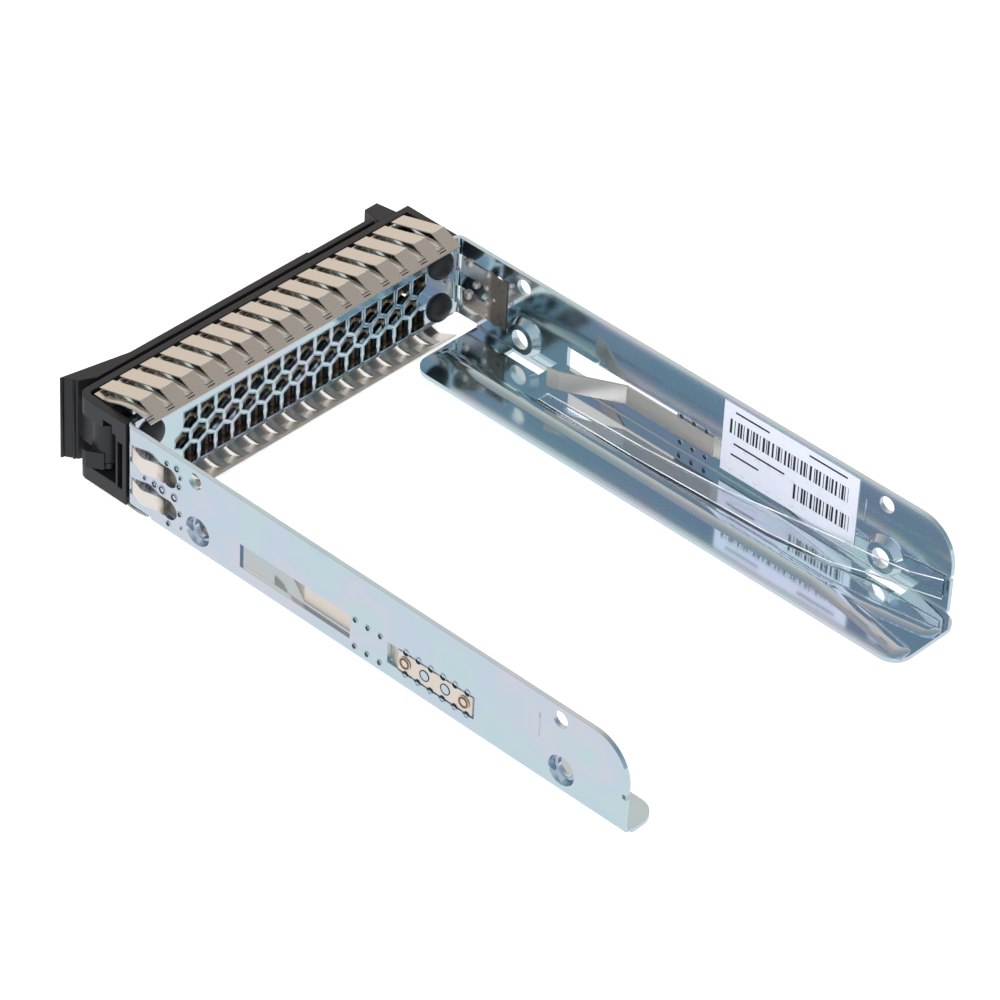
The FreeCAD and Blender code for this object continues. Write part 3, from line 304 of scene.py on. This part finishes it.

# %% [markdown]
# The side contacts: their nickel is painted darker and browner, and made duller, towards the rear of
# each plate, where the ends dip into the holes: painted shade. One ramp along the caddy, swayed by
# noise, drives both the colour and the roughness.

# %% Nickel of the side contacts, with painted shade towards the rear
SHADE_START, SHADE_FULL, SWAY = -38.9 * MM, -37.3 * MM, 0.8 * MM
SHADE_TINTS = [(0.0, "#f6ece4"), (0.5, "#d9cdc0"), (1.0, "#a4988d")]
contact_nickel = strip_finish("nickel_plated_contact_painted_shade", "#eee0d2", 0.20, 0.30)
tree = contact_nickel.node_tree
shader = tree.nodes["Principled BSDF"]
spot = add(tree, "ShaderNodeTexCoord").outputs["Object"]
along = add(tree, "ShaderNodeSeparateXYZ", links={0: spot})
# the border of the painted shade wanders in steps of a millimetre and a half
patch = add(tree, "ShaderNodeTexNoise", {"Scale": 700.0, "Detail": 2.0}, {"Vector": spot})
wander = add(tree, "ShaderNodeMapRange", {"To Min": -SWAY, "To Max": SWAY},
             {"Value": patch.outputs["Fac"]})
border = add(tree, "ShaderNodeMath", links={0: along.outputs["Y"], 1: wander.outputs[0]},
             operation="ADD")
# the share of painted shade, from none at the front of each plate to full at its rear
contact_shade = add(tree, "ShaderNodeMapRange", {"From Min": SHADE_START, "From Max": SHADE_FULL},
           {"Value": border.outputs[0]}).outputs[0]
dull = add(tree, "ShaderNodeMapRange", {"To Min": 0.26, "To Max": 0.6}, {"Value": contact_shade})
tree.links.new(dull.outputs[0], shader.inputs["Roughness"])
tint = add(tree, "ShaderNodeValToRGB", links={0: contact_shade}, stops=SHADE_TINTS)
tree.links.new(tint.outputs["Color"], shader.inputs["Base Color"])
dress(contact_nickel, "near_side_contact", "far_side_contact")

# %% [markdown]
# The bezel, lever and latch: injection moulded black ABS from a spark eroded tool, which leaves a
# fine even grit, with softly rounded edges. A bevel node rounds every edge by a fifth of a
# millimetre for the light, which draws the thin grey lines that real mouldings show.

# %% Black moulded plastic
black, tree, shader = material("black_abs_moulded", Base_Color=linear("#18181a"), Roughness=0.42,
                               IOR=1.5)
spot = add(tree, "ShaderNodeTexCoord").outputs["Object"]
# grit of 0.3 mm, near the finest that the picture can show
grit = add(tree, "ShaderNodeTexNoise", {"Scale": 3300.0, "Detail": 2.0}, {"Vector": spot})
soft_edges = add(tree, "ShaderNodeBevel", {"Radius": 0.22 * MM}, samples=6)
bump = add(tree, "ShaderNodeBump", {"Strength": 0.18, "Distance": 0.05 * MM},
           {"Height": grit.outputs["Fac"], "Normal": soft_edges.outputs[0]})
tree.links.new(bump.outputs[0], shader.inputs["Normal"])
dress(black, "bezel", "ejector_lever", "release_latch")

# %% [markdown]
# The small solids: spring wire and a pin, drawn and blackened, a label of coated paper and a light
# pipe of clear acrylic. Each finish starts from the usual values of its material, and a drift in
# the roughness or the colour keeps it from looking painted.

# %% Wire, paper and clear acrylic
wire, tree, shader = material("steel_drawn_blackened", Metallic=1.0, Base_Color=linear("#6f7174"))
# drawing oil leaves patches of a millimetre on the wire
uneven(tree, shader, 1000.0, 0.24, 0.42)
dress(wire, "lever_pin", "latch_spring")
paper, tree, shader = material("label_paper_coated", Roughness=0.4)
spot = add(tree, "ShaderNodeTexCoord").outputs["Object"]
# the fibres under the coating clump in flakes of about a millimetre
fibre = add(tree, "ShaderNodeTexNoise", {"Scale": 900.0, "Detail": 3.0}, {"Vector": spot})
tint = add(tree, "ShaderNodeValToRGB", links={0: fibre.outputs["Fac"]},
           stops=[(0.3, "#e4e6f3"), (0.7, "#e9ebf6")])
tree.links.new(tint.outputs["Color"], shader.inputs["Base Color"])
dress(paper, "label")
clear, tree, shader = material("acrylic_clear_moulded", Base_Color=linear("#fafcfd"), IOR=1.49,
                               Transmission_Weight=1.0)
# a faint orange peel some 2 mm across from the mould
uneven(tree, shader, 500.0, 0.02, 0.08)
dress(clear, "light_pipe")

# %% [markdown]
# Three finishes serve the fine detail: a white for the painted highlights along the edges of the
# acrylic, the black of a thermal printer, and painted shade in pressed hollows of the zinc. The last
# two are dark colours that drift a little, because a flat black looks like a hole.

# %% Painted highlight, ink and painted shade on zinc
pipe_edge_highlight, tree, shader = material("acrylic_edge_painted_highlight", Base_Color=linear("#f4f8fa"))
# the painted highlight drifts in roughness, in grains of half a millimetre
uneven(tree, shader, 2000.0, 0.25, 0.55)


def dark_finish(name, metallic, drift, tones):
    """A dark finish whose roughness and colour drift together: drift is scale, low and high."""
    made, tree, shader = material(name, Metallic=metallic)
    tint = add(tree, "ShaderNodeValToRGB", links={0: uneven(tree, shader, *drift)}, stops=tones)
    tree.links.new(tint.outputs["Color"], shader.inputs["Base Color"])
    print(made.name, "from", tones[0][1], "to", tones[-1][1])
    return made


# the print head leaves dots of a fifth of a millimetre, a little greyer than the rest
ink = dark_finish("thermal_ink_black", 0.0, (5000.0, 0.45, 0.65),
                  [(0.3, "#141418"), (0.7, "#1f1f24")])
# painted shade in recesses, drifting in patches of half a millimetre
shade = dark_finish("zinc_painted_shade_in_recess", 1.0, (2000.0, 0.3, 0.5),
                    [(0.3, "#2c353b"), (0.7, "#46535c")])

# %% [markdown]
# New pieces share one way in: a bmesh is filled by operators, written to a mesh with its place in
# it, given its material and body. Sizes along the caddy are written as they were measured, from
# the front screw axis, and one shift brings them to the frame.

# %% Helpers that place a piece
SHIFT = Vector((0.0, -30.1, 7.3))
SIDES = (1, -1)


def spot_mm(x, y, z):
    """A place measured from the front screw axis in mm, in the frame in metres."""
    return (Vector((x, y, z)) + SHIFT) * MM


def piece(name, form, made, body="carrier", smooth=True):
    """Makes an object of a bmesh, with a material, that rides on a body."""
    bmesh.ops.recalc_face_normals(form, faces=form.faces)
    data = bpy.data.meshes.new(name)
    form.to_mesh(data)
    form.free()
    for face in data.polygons:
        face.use_smooth = smooth
    data.materials.append(made)
    thing = bpy.data.objects.new(name, data)
    scene.collection.objects.link(thing)
    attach(thing, body)
    print(name, "has", len(data.polygons), "faces")
    return thing


print("front screw axis at", [round(v, 4) for v in spot_mm(0, 0, 0)])

# %% [markdown]
# Most of the fine detail is round wire or a pressed ring. A small circle spun about an axis gives
# a ring, or part of one, and a cylinder laid between two places gives a straight rod. Both are
# real bodies with closed ends, so that they look right from every side.


# %% Rings and rods
def close_ends(form):
    """Fills the open ends of what was just spun or cut."""
    bmesh.ops.holes_fill(form, edges=[edge for edge in form.edges if edge.is_boundary], sides=0)


def ring(form, centre, axis, wide, thick, arc=360.0, first=0.0, steps=12):
    """A round wire, or part of one, about an axis: a small circle spun round the centre."""
    axis = Vector(axis)
    out = Vector((0, 0, 1)) if abs(axis.z) < 0.5 else Vector((1, 0, 0))
    out = Matrix.Rotation(math.radians(first), 3, axis) @ out
    verts = bmesh.ops.create_circle(form, segments=6, radius=thick * MM)["verts"]
    turn = Matrix((out, axis, out.cross(axis))).transposed().to_4x4()
    start = Matrix.Translation(centre + out * wide * MM)
    bmesh.ops.transform(form, verts=verts, matrix=start @ turn)
    loop = list({edge for vert in verts for edge in vert.link_edges})
    bmesh.ops.spin(form, geom=loop, cent=centre, axis=axis, angle=math.radians(arc), steps=steps,
                   use_merge=abs(arc) == 360.0)
    close_ends(form)


def rod(form, start, end, thick):
    """A thin round rod between two places in metres."""
    run = end - start
    turn = run.to_track_quat("Z", "Y").to_matrix().to_4x4()
    bmesh.ops.create_cone(form, cap_ends=True, segments=12, radius1=thick / 2 * MM,
                          radius2=thick / 2 * MM, depth=run.length,
                          matrix=Matrix.Translation((start + end) / 2) @ turn)


trial = bmesh.new()
ring(trial, spot_mm(0, 0, 0), (1, 0, 0), 0.5, 0.14)
print("a full ring has", len(trial.faces), "faces")
trial.free()

# %% [markdown]
# Heads of the bezel's posts: the posts pass through the web and are melted over with a hot tool.
# The melt leaves a soft dome. A sphere cut at its middle and flattened is that shape.

# %% Melted heads of the posts
HEAD_RADIUS, FLATNESS = 2.58, 0.64
POST_X, HEAD_FOOT, POST_HEIGHTS = 32.1, -15.36, (8.0, -0.5)
heads = bmesh.new()
laid_flat = Matrix.Rotation(math.radians(-90), 4, "X") @ Matrix.Diagonal((1, 1, FLATNESS, 1))
for side in SIDES:
    for height in POST_HEIGHTS:
        ball = bmesh.ops.create_uvsphere(heads, u_segments=28, v_segments=14,
                                         radius=HEAD_RADIUS * MM)["verts"]
        below = [vert for vert in ball if vert.co.z < -0.01 * MM]
        bmesh.ops.delete(heads, geom=below, context="VERTS")
        dome = [vert for vert in ball if vert.is_valid]
        foot = Matrix.Translation(spot_mm(side * POST_X, HEAD_FOOT, height))
        bmesh.ops.transform(heads, verts=dome, matrix=foot @ laid_flat)
        close_ends(heads)
piece("post_heads", heads, black)

# %% [markdown]
# The torsion spring that pulls the lever: two and a half turns of wire round the pin. A circle
# spun with a pitch gives them, and the coil stands for the plainer solid of the frame.

# %% Coil of the lever's spring
STEPS_IN_A_TURN = 24


def wind(name, start, axis, radius, thick, turns, rise):
    """A coil of wire from a start, with its radius as a vector and the rise of one step, in mm."""
    form = bmesh.new()
    verts = bmesh.ops.create_circle(form, segments=8, radius=thick / 2 * MM)["verts"]
    bmesh.ops.transform(form, verts=verts, matrix=Matrix.Translation(start + Vector(radius) * MM)
                        @ Matrix.Rotation(math.radians(90), 4, "X"))
    bmesh.ops.spin(form, geom=form.edges[:], cent=start, axis=axis,
                   dvec=Vector(axis) * (rise * MM), angle=math.radians(360 * turns),
                   steps=round(STEPS_IN_A_TURN * turns))
    close_ends(form)
    return piece(name, form, wire)


lever_coil = wind("lever_spring_coil", spot_mm(33.7, -23.2, -1.15), (0, 0, 1), (1.85, 0, 0),
                  0.4, 2.5, 0.014)
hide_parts("lever_spring")

# %% [markdown]
# The compression spring behind the latch: four turns of finer wire. It is soft, so it shortens as the
# latch slides towards it: from 2.5 mm at rest to just under 1 mm when the latch is held back. The
# coil here is built at its length at rest.

# %% Coil of the latch's spring
latch_coil = wind("latch_spring_coil", spot_mm(-35.03, -24.5, 3.5), (1, 0, 0), (0, 0, 0.9),
                  0.24, 4, 0.0235)
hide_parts("latch_spring")
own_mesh(latch_coil)

# %% [markdown]
# Rows of small pressed marks run along both rails: pips where the strips and contacts were swaged in
# place. Each is a raised half ring, a few tenths of a millimetre high, with a dark half ring of
# painted shade in its hollow. Full rings are the swaged ends of pips that go right through.

# %% Swage marks on the rails
OUTER_FACE, INNER_FACE = 36.9, 36.1
SWAGED_ROW, SWAGED_EDGES = (44.7, 47.3, 49.9, 52.4, 54.9, 57.4), ((2.98, -90), (-1.18, 90))
PIP_ROW, PIP_HEIGHTS, PIP_WIRE = (34.0, 36.65, 39.3), (2.9, -2.2), 0.14
# the places and radii of the pips round the side contacts
FRONT_PIPS = ((-11.8, 3.7, 0.4), (-9.6, 3.7, 0.6), (-7.9, 3.6, 0.75), (-5.2, 3.6, 0.75),
              (-4.0, 1.0, 0.5), (-6.5, -2.2, 0.5), (-4.2, 6.3, 0.55), (-6.9, 9.3, 0.5),
              (-4.7, 9.5, 0.6), (-3.9, 8.1, 0.4), (-3.6, -1.5, 0.3))
marks, hollow_shades = bmesh.new(), bmesh.new()


def swage(centre, side, radius):
    """A full ring with a dark ring of painted shade in it, 0.2 mm smaller."""
    ring(marks, centre, (side, 0, 0), radius, PIP_WIRE)
    ring(hollow_shades, centre, (side, 0, 0), radius - 0.2, PIP_WIRE)


for side in SIDES:
    for face_x in (OUTER_FACE, INNER_FACE):
        x = side * face_x
        for y in SWAGED_ROW:
            for z, first in SWAGED_EDGES:
                ring(marks, spot_mm(x, y, z), (side, 0, 0), 0.6, 0.15, 180, first * side, 6)
                ring(hollow_shades, spot_mm(x, y, z), (side, 0, 0), 0.42, 0.16, 180,
                     (first + 180) * side, 6)
        for y in PIP_ROW:
            for z in PIP_HEIGHTS:
                swage(spot_mm(x, y, z), side, 0.5)
    for y, z, radius in FRONT_PIPS:
        swage(spot_mm(side * OUTER_FACE, y, z), side, radius)
piece("swage_marks", marks, zinc)
# the dark rings are painted shade in the hollows of the marks
piece("swage_hollow_shades", hollow_shades, shade)

# %% [markdown]
# Rings round the rivets: each rivet's head was pressed down into a ring. Full spins of a small circle
# make them, in browned bronze for the leaf springs and in the contacts' nickel, with its painted
# shade, for the contacts.

# %% Rings of the rivets
RIVET_FACE, RIVET_HEIGHT, RIVET_ROW = 37.02, 0.9, (44.6, 56.8)
CONTACT_FACE, CONTACT_RIVETS = 35.8, ((-5.2, 6.9), (-5.2, 0.6))
rivet_rings, contact_rings = bmesh.new(), bmesh.new()
for side in SIDES:
    for y in RIVET_ROW:
        ring(rivet_rings, spot_mm(side * RIVET_FACE, y, RIVET_HEIGHT), (side, 0, 0), 0.82, 0.2,
             steps=20)
    for y, z in CONTACT_RIVETS:
        ring(contact_rings, spot_mm(side * CONTACT_FACE, y, z), (side, 0, 0), 0.85, 0.14, steps=24)
piece("rivet_rings", rivet_rings, bronze)
piece("contact_rivet_rings", contact_rings, contact_nickel)

# %% [markdown]
# The plates of the side contacts have small domes pressed into them. A press makes each from the
# strip itself. Here a flattened ball, half sunk in the plate, is one dome.

# %% Pips of the side contacts
PIP_FACE, PIP_FLATNESS = 35.95, 0.7
CONTACT_PIPS = ((-12.6, 7.9, 1.7), (-12.6, 1.7, 1.7), (-8.4, 7.9, 1.2), (-8.6, 5.2, 1.1),
                (-8.4, 2.3, 1.2), (-8.6, -0.2, 1.1), (-11.0, 4.4, 1.3), (-6.9, 3.7, 0.8),
                (-3.4, 8.3, 0.9), (-3.3, 4.9, 0.9), (-3.4, -0.6, 0.9))
pips = bmesh.new()
for side in SIDES:
    for y, z, width in CONTACT_PIPS:
        ball = bmesh.ops.create_uvsphere(pips, u_segments=12, v_segments=6,
                                         radius=width / 2 * MM)["verts"]
        centre = Matrix.Translation(spot_mm(side * PIP_FACE, y, z))
        bmesh.ops.transform(pips, verts=ball,
                            matrix=centre @ Matrix.Diagonal((PIP_FLATNESS, 1, 1, 1)))
piece("contact_pips", pips, cream)

# %% [markdown]
# The punch leaves a rounded lip round every hole of the honeycomb, and these lips catch the light
# as fine lines. A thin rod along each side of each hole is that lip. The middle row has whole
# hexagons, and the rows above and below are cut off straight, as in the tray.

# %% Lips of the honeycomb's holes
CELL, CELL_PITCH, CELL_COUNT, CELL_FIRST, CELL_MIDDLE = 1.515, 3.63, 15, 25.41, 2.9
FIELD_TOP, FIELD_LOW, WEB_FACE, LIP = 8.2, -2.7, -15.44, 0.26
point, row = CELL * 2 / math.sqrt(3), CELL_PITCH * math.sqrt(3) / 2
angles = [math.radians(60 * k) for k in range(7)]
whole = [(math.sin(angle) * point, math.cos(angle) * point) for angle in angles]
lips = bmesh.new()
for column in range(CELL_COUNT):
    x = CELL_FIRST - CELL_PITCH * column
    aside = x - CELL_PITCH / 2
    outlines = [[(x + dx, CELL_MIDDLE + dz) for dx, dz in whole]]
    for way, limit in ((1, FIELD_TOP), (-1, FIELD_LOW)):
        centre = CELL_MIDDLE + way * row
        shoulder, tip = centre - way * point / 2, centre - way * point
        outlines.append([(aside + CELL, limit), (aside + CELL, shoulder), (aside, tip),
                         (aside - CELL, shoulder), (aside - CELL, limit), (aside + CELL, limit)])
    for outline in outlines:
        for (x0, z0), (x1, z1) in zip(outline, outline[1:]):
            rod(lips, spot_mm(x0, WEB_FACE, z0), spot_mm(x1, WEB_FACE, z1), LIP)
piece("honeycomb_lips", lips, zinc)

# %% [markdown]
# Two holes in the seat of each leaf spring show zinc behind them. They are too shallow to see
# through, so a low disc in zinc stands for what lies in the hole, and a thin dark ring for its
# shadow. A flat pad with round ends serves for the disc, and for slits and lines further on.

# %% Holes of the leaf springs' seats
SEAT_FACE, SEAT_HEIGHT, SEAT_ROW, SEAT_HOLE = 36.88, 0.9, (48.6, 52.9), 1.8


def capsule(form, centre, normal, long_way, length, width, rise):
    """A flat pad with round ends: a low cylinder stretched the long way."""
    normal, long_way = Vector(normal).normalized(), Vector(long_way).normalized()
    verts = bmesh.ops.create_cone(form, cap_ends=True, segments=16, radius1=width / 2 * MM,
                                  radius2=width / 2 * MM, depth=rise * MM)["verts"]
    for vert in verts:
        if vert.co.x > 0:
            vert.co.x += (length - width) / 2 * MM
        elif vert.co.x < 0:
            vert.co.x -= (length - width) / 2 * MM
    turn = Matrix((long_way, normal.cross(long_way), normal)).transposed().to_4x4()
    bmesh.ops.transform(form, verts=verts, matrix=Matrix.Translation(centre) @ turn)


seat_rims, seat_discs = bmesh.new(), bmesh.new()
for side in SIDES:
    for y in SEAT_ROW:
        centre = spot_mm(side * SEAT_FACE, y, SEAT_HEIGHT)
        ring(seat_rims, centre, (side, 0, 0), 0.92, 0.1, steps=20)
        capsule(seat_discs, centre, (side, 0, 0), (0, 1, 0), SEAT_HOLE, SEAT_HOLE, 0.04)
piece("seat_hole_rims", seat_rims, shade)
piece("seat_hole_discs", seat_discs, zinc, smooth=False)

# %% [markdown]
# Where each tie of the finger strips meets the band behind, the die lanced two short slits. They are
# seen as dark dashes of shade. Two narrow pads in dark zinc, tilted as the band is tilted, draw them
# as painted shade. The bottom strip is the top strip turned over, so one function brings a height
# over to it.

# %% Painted shade in the lances of the finger strips
FINGERS, PITCH, FIRST_TIE, STRIP_TWIN, BAND_SLOPE = 16, 4.29, 34.17, 7.0, 0.46
LANCES = ((-13.72, 12.98, 1.6, 0.2), (-13.25, 12.77, 1.5, 0.18))


def on_strip(strip, height):
    """A height on the top strip, where strip is 1, or its twin on the bottom strip."""
    return height if strip > 0 else STRIP_TWIN - height


lance_shades = bmesh.new()
for strip in SIDES:
    for finger in range(FINGERS):
        x = FIRST_TIE - PITCH * finger
        for y, z, length, width in LANCES:
            capsule(lance_shades, spot_mm(x, y, on_strip(strip, z)), (0, BAND_SLOPE * strip, strip),
                    (1, 0, 0), length, width, 0.05)
piece("strip_lance_shades", lance_shades, shade, smooth=False)

# %% [markdown]
# The ties between the fingers are drawn down by the press into soft bows, and come up again into
# the band behind. A small grid bent along the bow, with a thickness, is one tie.

# %% Bowed ties
WEB_TOP, TIE_HALF, TIE_THICK = 11.11, 0.69, 0.12
BOW = ((-23.4, 0.35), (-21.8, 0.75), (-20.2, 1.42), (-18.6, 1.88), (-17.0, 2.2), (-15.6, 2.24),
       (-14.6, 2.14), (-13.7, 1.9))
last = len(BOW) - 1
bows = bmesh.new()
for strip in SIDES:
    for finger in range(FINGERS):
        middle = FIRST_TIE - PITCH * finger
        grid = bmesh.ops.create_grid(bows, x_segments=1, y_segments=last, size=1.0)["verts"]
        for vert in grid:
            y, rise = BOW[round((vert.co.y + 1) / 2 * last)]
            vert.co = spot_mm(middle + vert.co.x * TIE_HALF, y, on_strip(strip, WEB_TOP + rise))
bmesh.ops.recalc_face_normals(bows, faces=bows.faces)
bmesh.ops.solidify(bows, geom=bows.faces[:], thickness=TIE_THICK * MM)
piece("finger_ties", bows, cream)

# %% [markdown]
# Each finger's crest shows a bright line where its bend catches the light. A thin rod along the bend,
# in a pale nickel that catches light from all round, draws that line as a painted highlight.

# %% Painted highlights on the crests
CREST_Y, CREST_RISE, CREST_WIRE, SLIT_HALF, CREST_LONG = -16.6, 3.03, 0.32, 0.74, 2.81
crest_highlight_rods = bmesh.new()
for strip in SIDES:
    z = on_strip(strip, WEB_TOP + CREST_RISE)
    for finger in range(FINGERS):
        x = FIRST_TIE - PITCH * finger - SLIT_HALF
        rod(crest_highlight_rods, spot_mm(x, CREST_Y, z), spot_mm(x - CREST_LONG, CREST_Y, z), CREST_WIRE)
piece("finger_crest_highlights", crest_highlight_rods, crest_highlight)

# %% [markdown]
# The hinge end of the lever is moulded with two upright ribs that stiffen its lip: one along the
# front corner, one where the slanted end begins. Each is a slim round rod, half sunk in the plate.

# %% Ribs on the lever's hinge end
RIB_FOOT, RIB_TOP, RIBS = -4.15, 11.15, ((35.62, -31.86, 0.6), (34.6, -30.2, 0.44))
ribs = bmesh.new()
for x, y, width in RIBS:
    rod(ribs, spot_mm(x, y, RIB_FOOT), spot_mm(x, y, RIB_TOP), width)
piece("lever_end_ribs", ribs, black, body="lever")

# %% [markdown]
# The bead on the far flange stiffens the sheet. A press draws the sheet over a rounded rib, so its
# back is round and its sides run out softly, and near the rear it forks into two arms. A fine
# grid, lifted by the distance from the middle of the rib and given a thickness, is that shape.

# %% Rounded back of the pressed bead
BEAD_X, FLANGE_TOP, BEAD_FRONT, FORK_Y, FLANGE_REAR = -27.0, -3.55, -10.2, 71.0, 92.2
BEAD_HALF, BEAD_RISE, BEAD_CURVE, FORK_HALF, FORK_CURVE = 1.8, 0.72, 2.5, 3.6, 1.15
# the ends ease to nothing over 1.5 mm, and the sides stop just under the flange
END_EASE, SIDE_STOP, BEAD_THICK, MARGIN = 1.5, 1.08, 0.1, 0.3


def bead_height(x, y):
    """Height of the bead over the flange in mm, at a place in mm."""
    along = min(max((y - FORK_Y) / (FLANGE_REAR - FORK_Y), 0.0), 1.0)
    arm = FORK_HALF * along ** FORK_CURVE
    off = abs(abs(x - BEAD_X) - arm)
    end = min(max(min(y - BEAD_FRONT, FLANGE_REAR - y), 0.0) / END_EASE, 1.0)
    return BEAD_RISE * (math.sqrt(end) - min(off / BEAD_HALF, SIDE_STOP) ** BEAD_CURVE)


bead = bmesh.new()
bmesh.ops.create_grid(bead, x_segments=48, y_segments=200, size=0.5)
reach = FORK_HALF + BEAD_HALF + MARGIN
for vert in bead.verts:
    x = BEAD_X + vert.co.x * 2 * reach
    y = BEAD_FRONT + (vert.co.y + 0.5) * (FLANGE_REAR - BEAD_FRONT)
    vert.co = spot_mm(x, y, FLANGE_TOP + bead_height(x, y))
flange_z = spot_mm(0, 0, FLANGE_TOP).z
below = [face for face in bead.faces if all(vert.co.z < flange_z for vert in face.verts)]
bmesh.ops.delete(bead, geom=below, context="FACES")
bmesh.ops.recalc_face_normals(bead, faces=bead.faces)
bmesh.ops.solidify(bead, geom=bead.faces[:], thickness=BEAD_THICK * MM)
piece("flange_bead", bead, zinc)

# %% [markdown]
# The light pipe is clear, and shows by its edges alone, which look white. Thin white rods lie along
# both edges, from the flange to the rear, and draw those lines as painted highlights.

# %% Painted highlights on the edges of the light pipe
# y, x and z of the corners of the outer edge and of the inner edge, from the front to the rear
OUTER_EDGE = ((10.0, -31.0, -3.2), (30.0, -31.8, -3.2), (46.0, -33.2, -3.2), (58.0, -34.9, -2.7),
              (69.6, -34.7, -0.8), (76.6, -34.6, 0.1), (82.6, -34.6, 1.1), (88.6, -35.5, 2.4))
INNER_EDGE = ((10.0, -28.9, -3.2), (30.0, -28.9, -3.2), (46.0, -29.6, -3.2), (58.0, -30.1, -3.2),
              (69.6, -31.7, -3.2), (76.6, -33.9, -2.7), (82.6, -34.6, -2.1), (88.6, -35.5, -1.3))
EDGE_WIRE = 0.2
pipe_edge_highlight_rods = bmesh.new()
for path in (OUTER_EDGE, INNER_EDGE):
    for (y0, x0, z0), (y1, x1, z1) in zip(path, path[1:]):
        rod(pipe_edge_highlight_rods, spot_mm(x0, y0, z0), spot_mm(x1, y1, z1), EDGE_WIRE)
piece("light_pipe_edge_highlights", pipe_edge_highlight_rods, pipe_edge_highlight)

# %% [markdown]
# Plain printed bars give the label its look. A printer lays them down as thin ink, so each is a
# flat box, a hundredth of a millimetre off the paper. Their widths come from a short sum, so that
# they look uneven.

# %% Plain bars on the label
INK_X, INK_THICK, LINE_TALL = -35.943, 0.01, 0.35
THIN_BAR, BAR_STEP, THIN_GAP, GAP_STEP = 0.17, 0.14, 0.16, 0.11
BLOCKS = ((44.0, 68.4, 5.5, 8.3), (57.6, 69.0, 0.2, 3.1))
LINES = ((9.7, 45.0, 52.0), (9.9, 60.2, 68.0), (3.6, 45.0, 55.6), (1.4, 44.6, 50.4))
bars = bmesh.new()


def bar(y0, y1, z0, z1):
    """One printed bar on the label, between two corners."""
    size = Matrix.Diagonal((INK_THICK * MM, (y1 - y0) * MM, (z1 - z0) * MM, 1))
    centre = Matrix.Translation(spot_mm(INK_X, (y0 + y1) / 2, (z0 + z1) / 2))
    bmesh.ops.create_cube(bars, size=1.0, matrix=centre @ size)


for front, rear, low, high in BLOCKS:
    y, step = front, 0
    while y < rear:
        step += 1
        width = THIN_BAR + BAR_STEP * ((step * step + 3 * step) % 5) / 2
        bar(y, min(y + width, rear), low, high)
        y += width + THIN_GAP + GAP_STEP * ((7 * step + step * step // 3) % 4)
for low, front, rear in LINES:
    bar(front, rear, low, low + LINE_TALL)
piece("label_bars", bars, ink, smooth=False)

# %% [markdown]
# Scored lines: a short upright score near the rear of each rail. A narrow pad, a few hundredths
# of a millimetre proud, draws the line on both faces.

# %% Scored lines
SCORED_FACES, SCORE_Y, SCORE_HEIGHT = (36.92, 36.08), 71.9, 6.0
SCORE_LONG, SCORE_WIDE, SCORE_RISE = 4.4, 0.22, 0.08
scores = bmesh.new()
for side in SIDES:
    for face_x in SCORED_FACES:
        capsule(scores, spot_mm(side * face_x, SCORE_Y, SCORE_HEIGHT), (side, 0, 0), (0, 0, 1),
                SCORE_LONG, SCORE_WIDE, SCORE_RISE)
piece("scored_lines", scores, zinc)
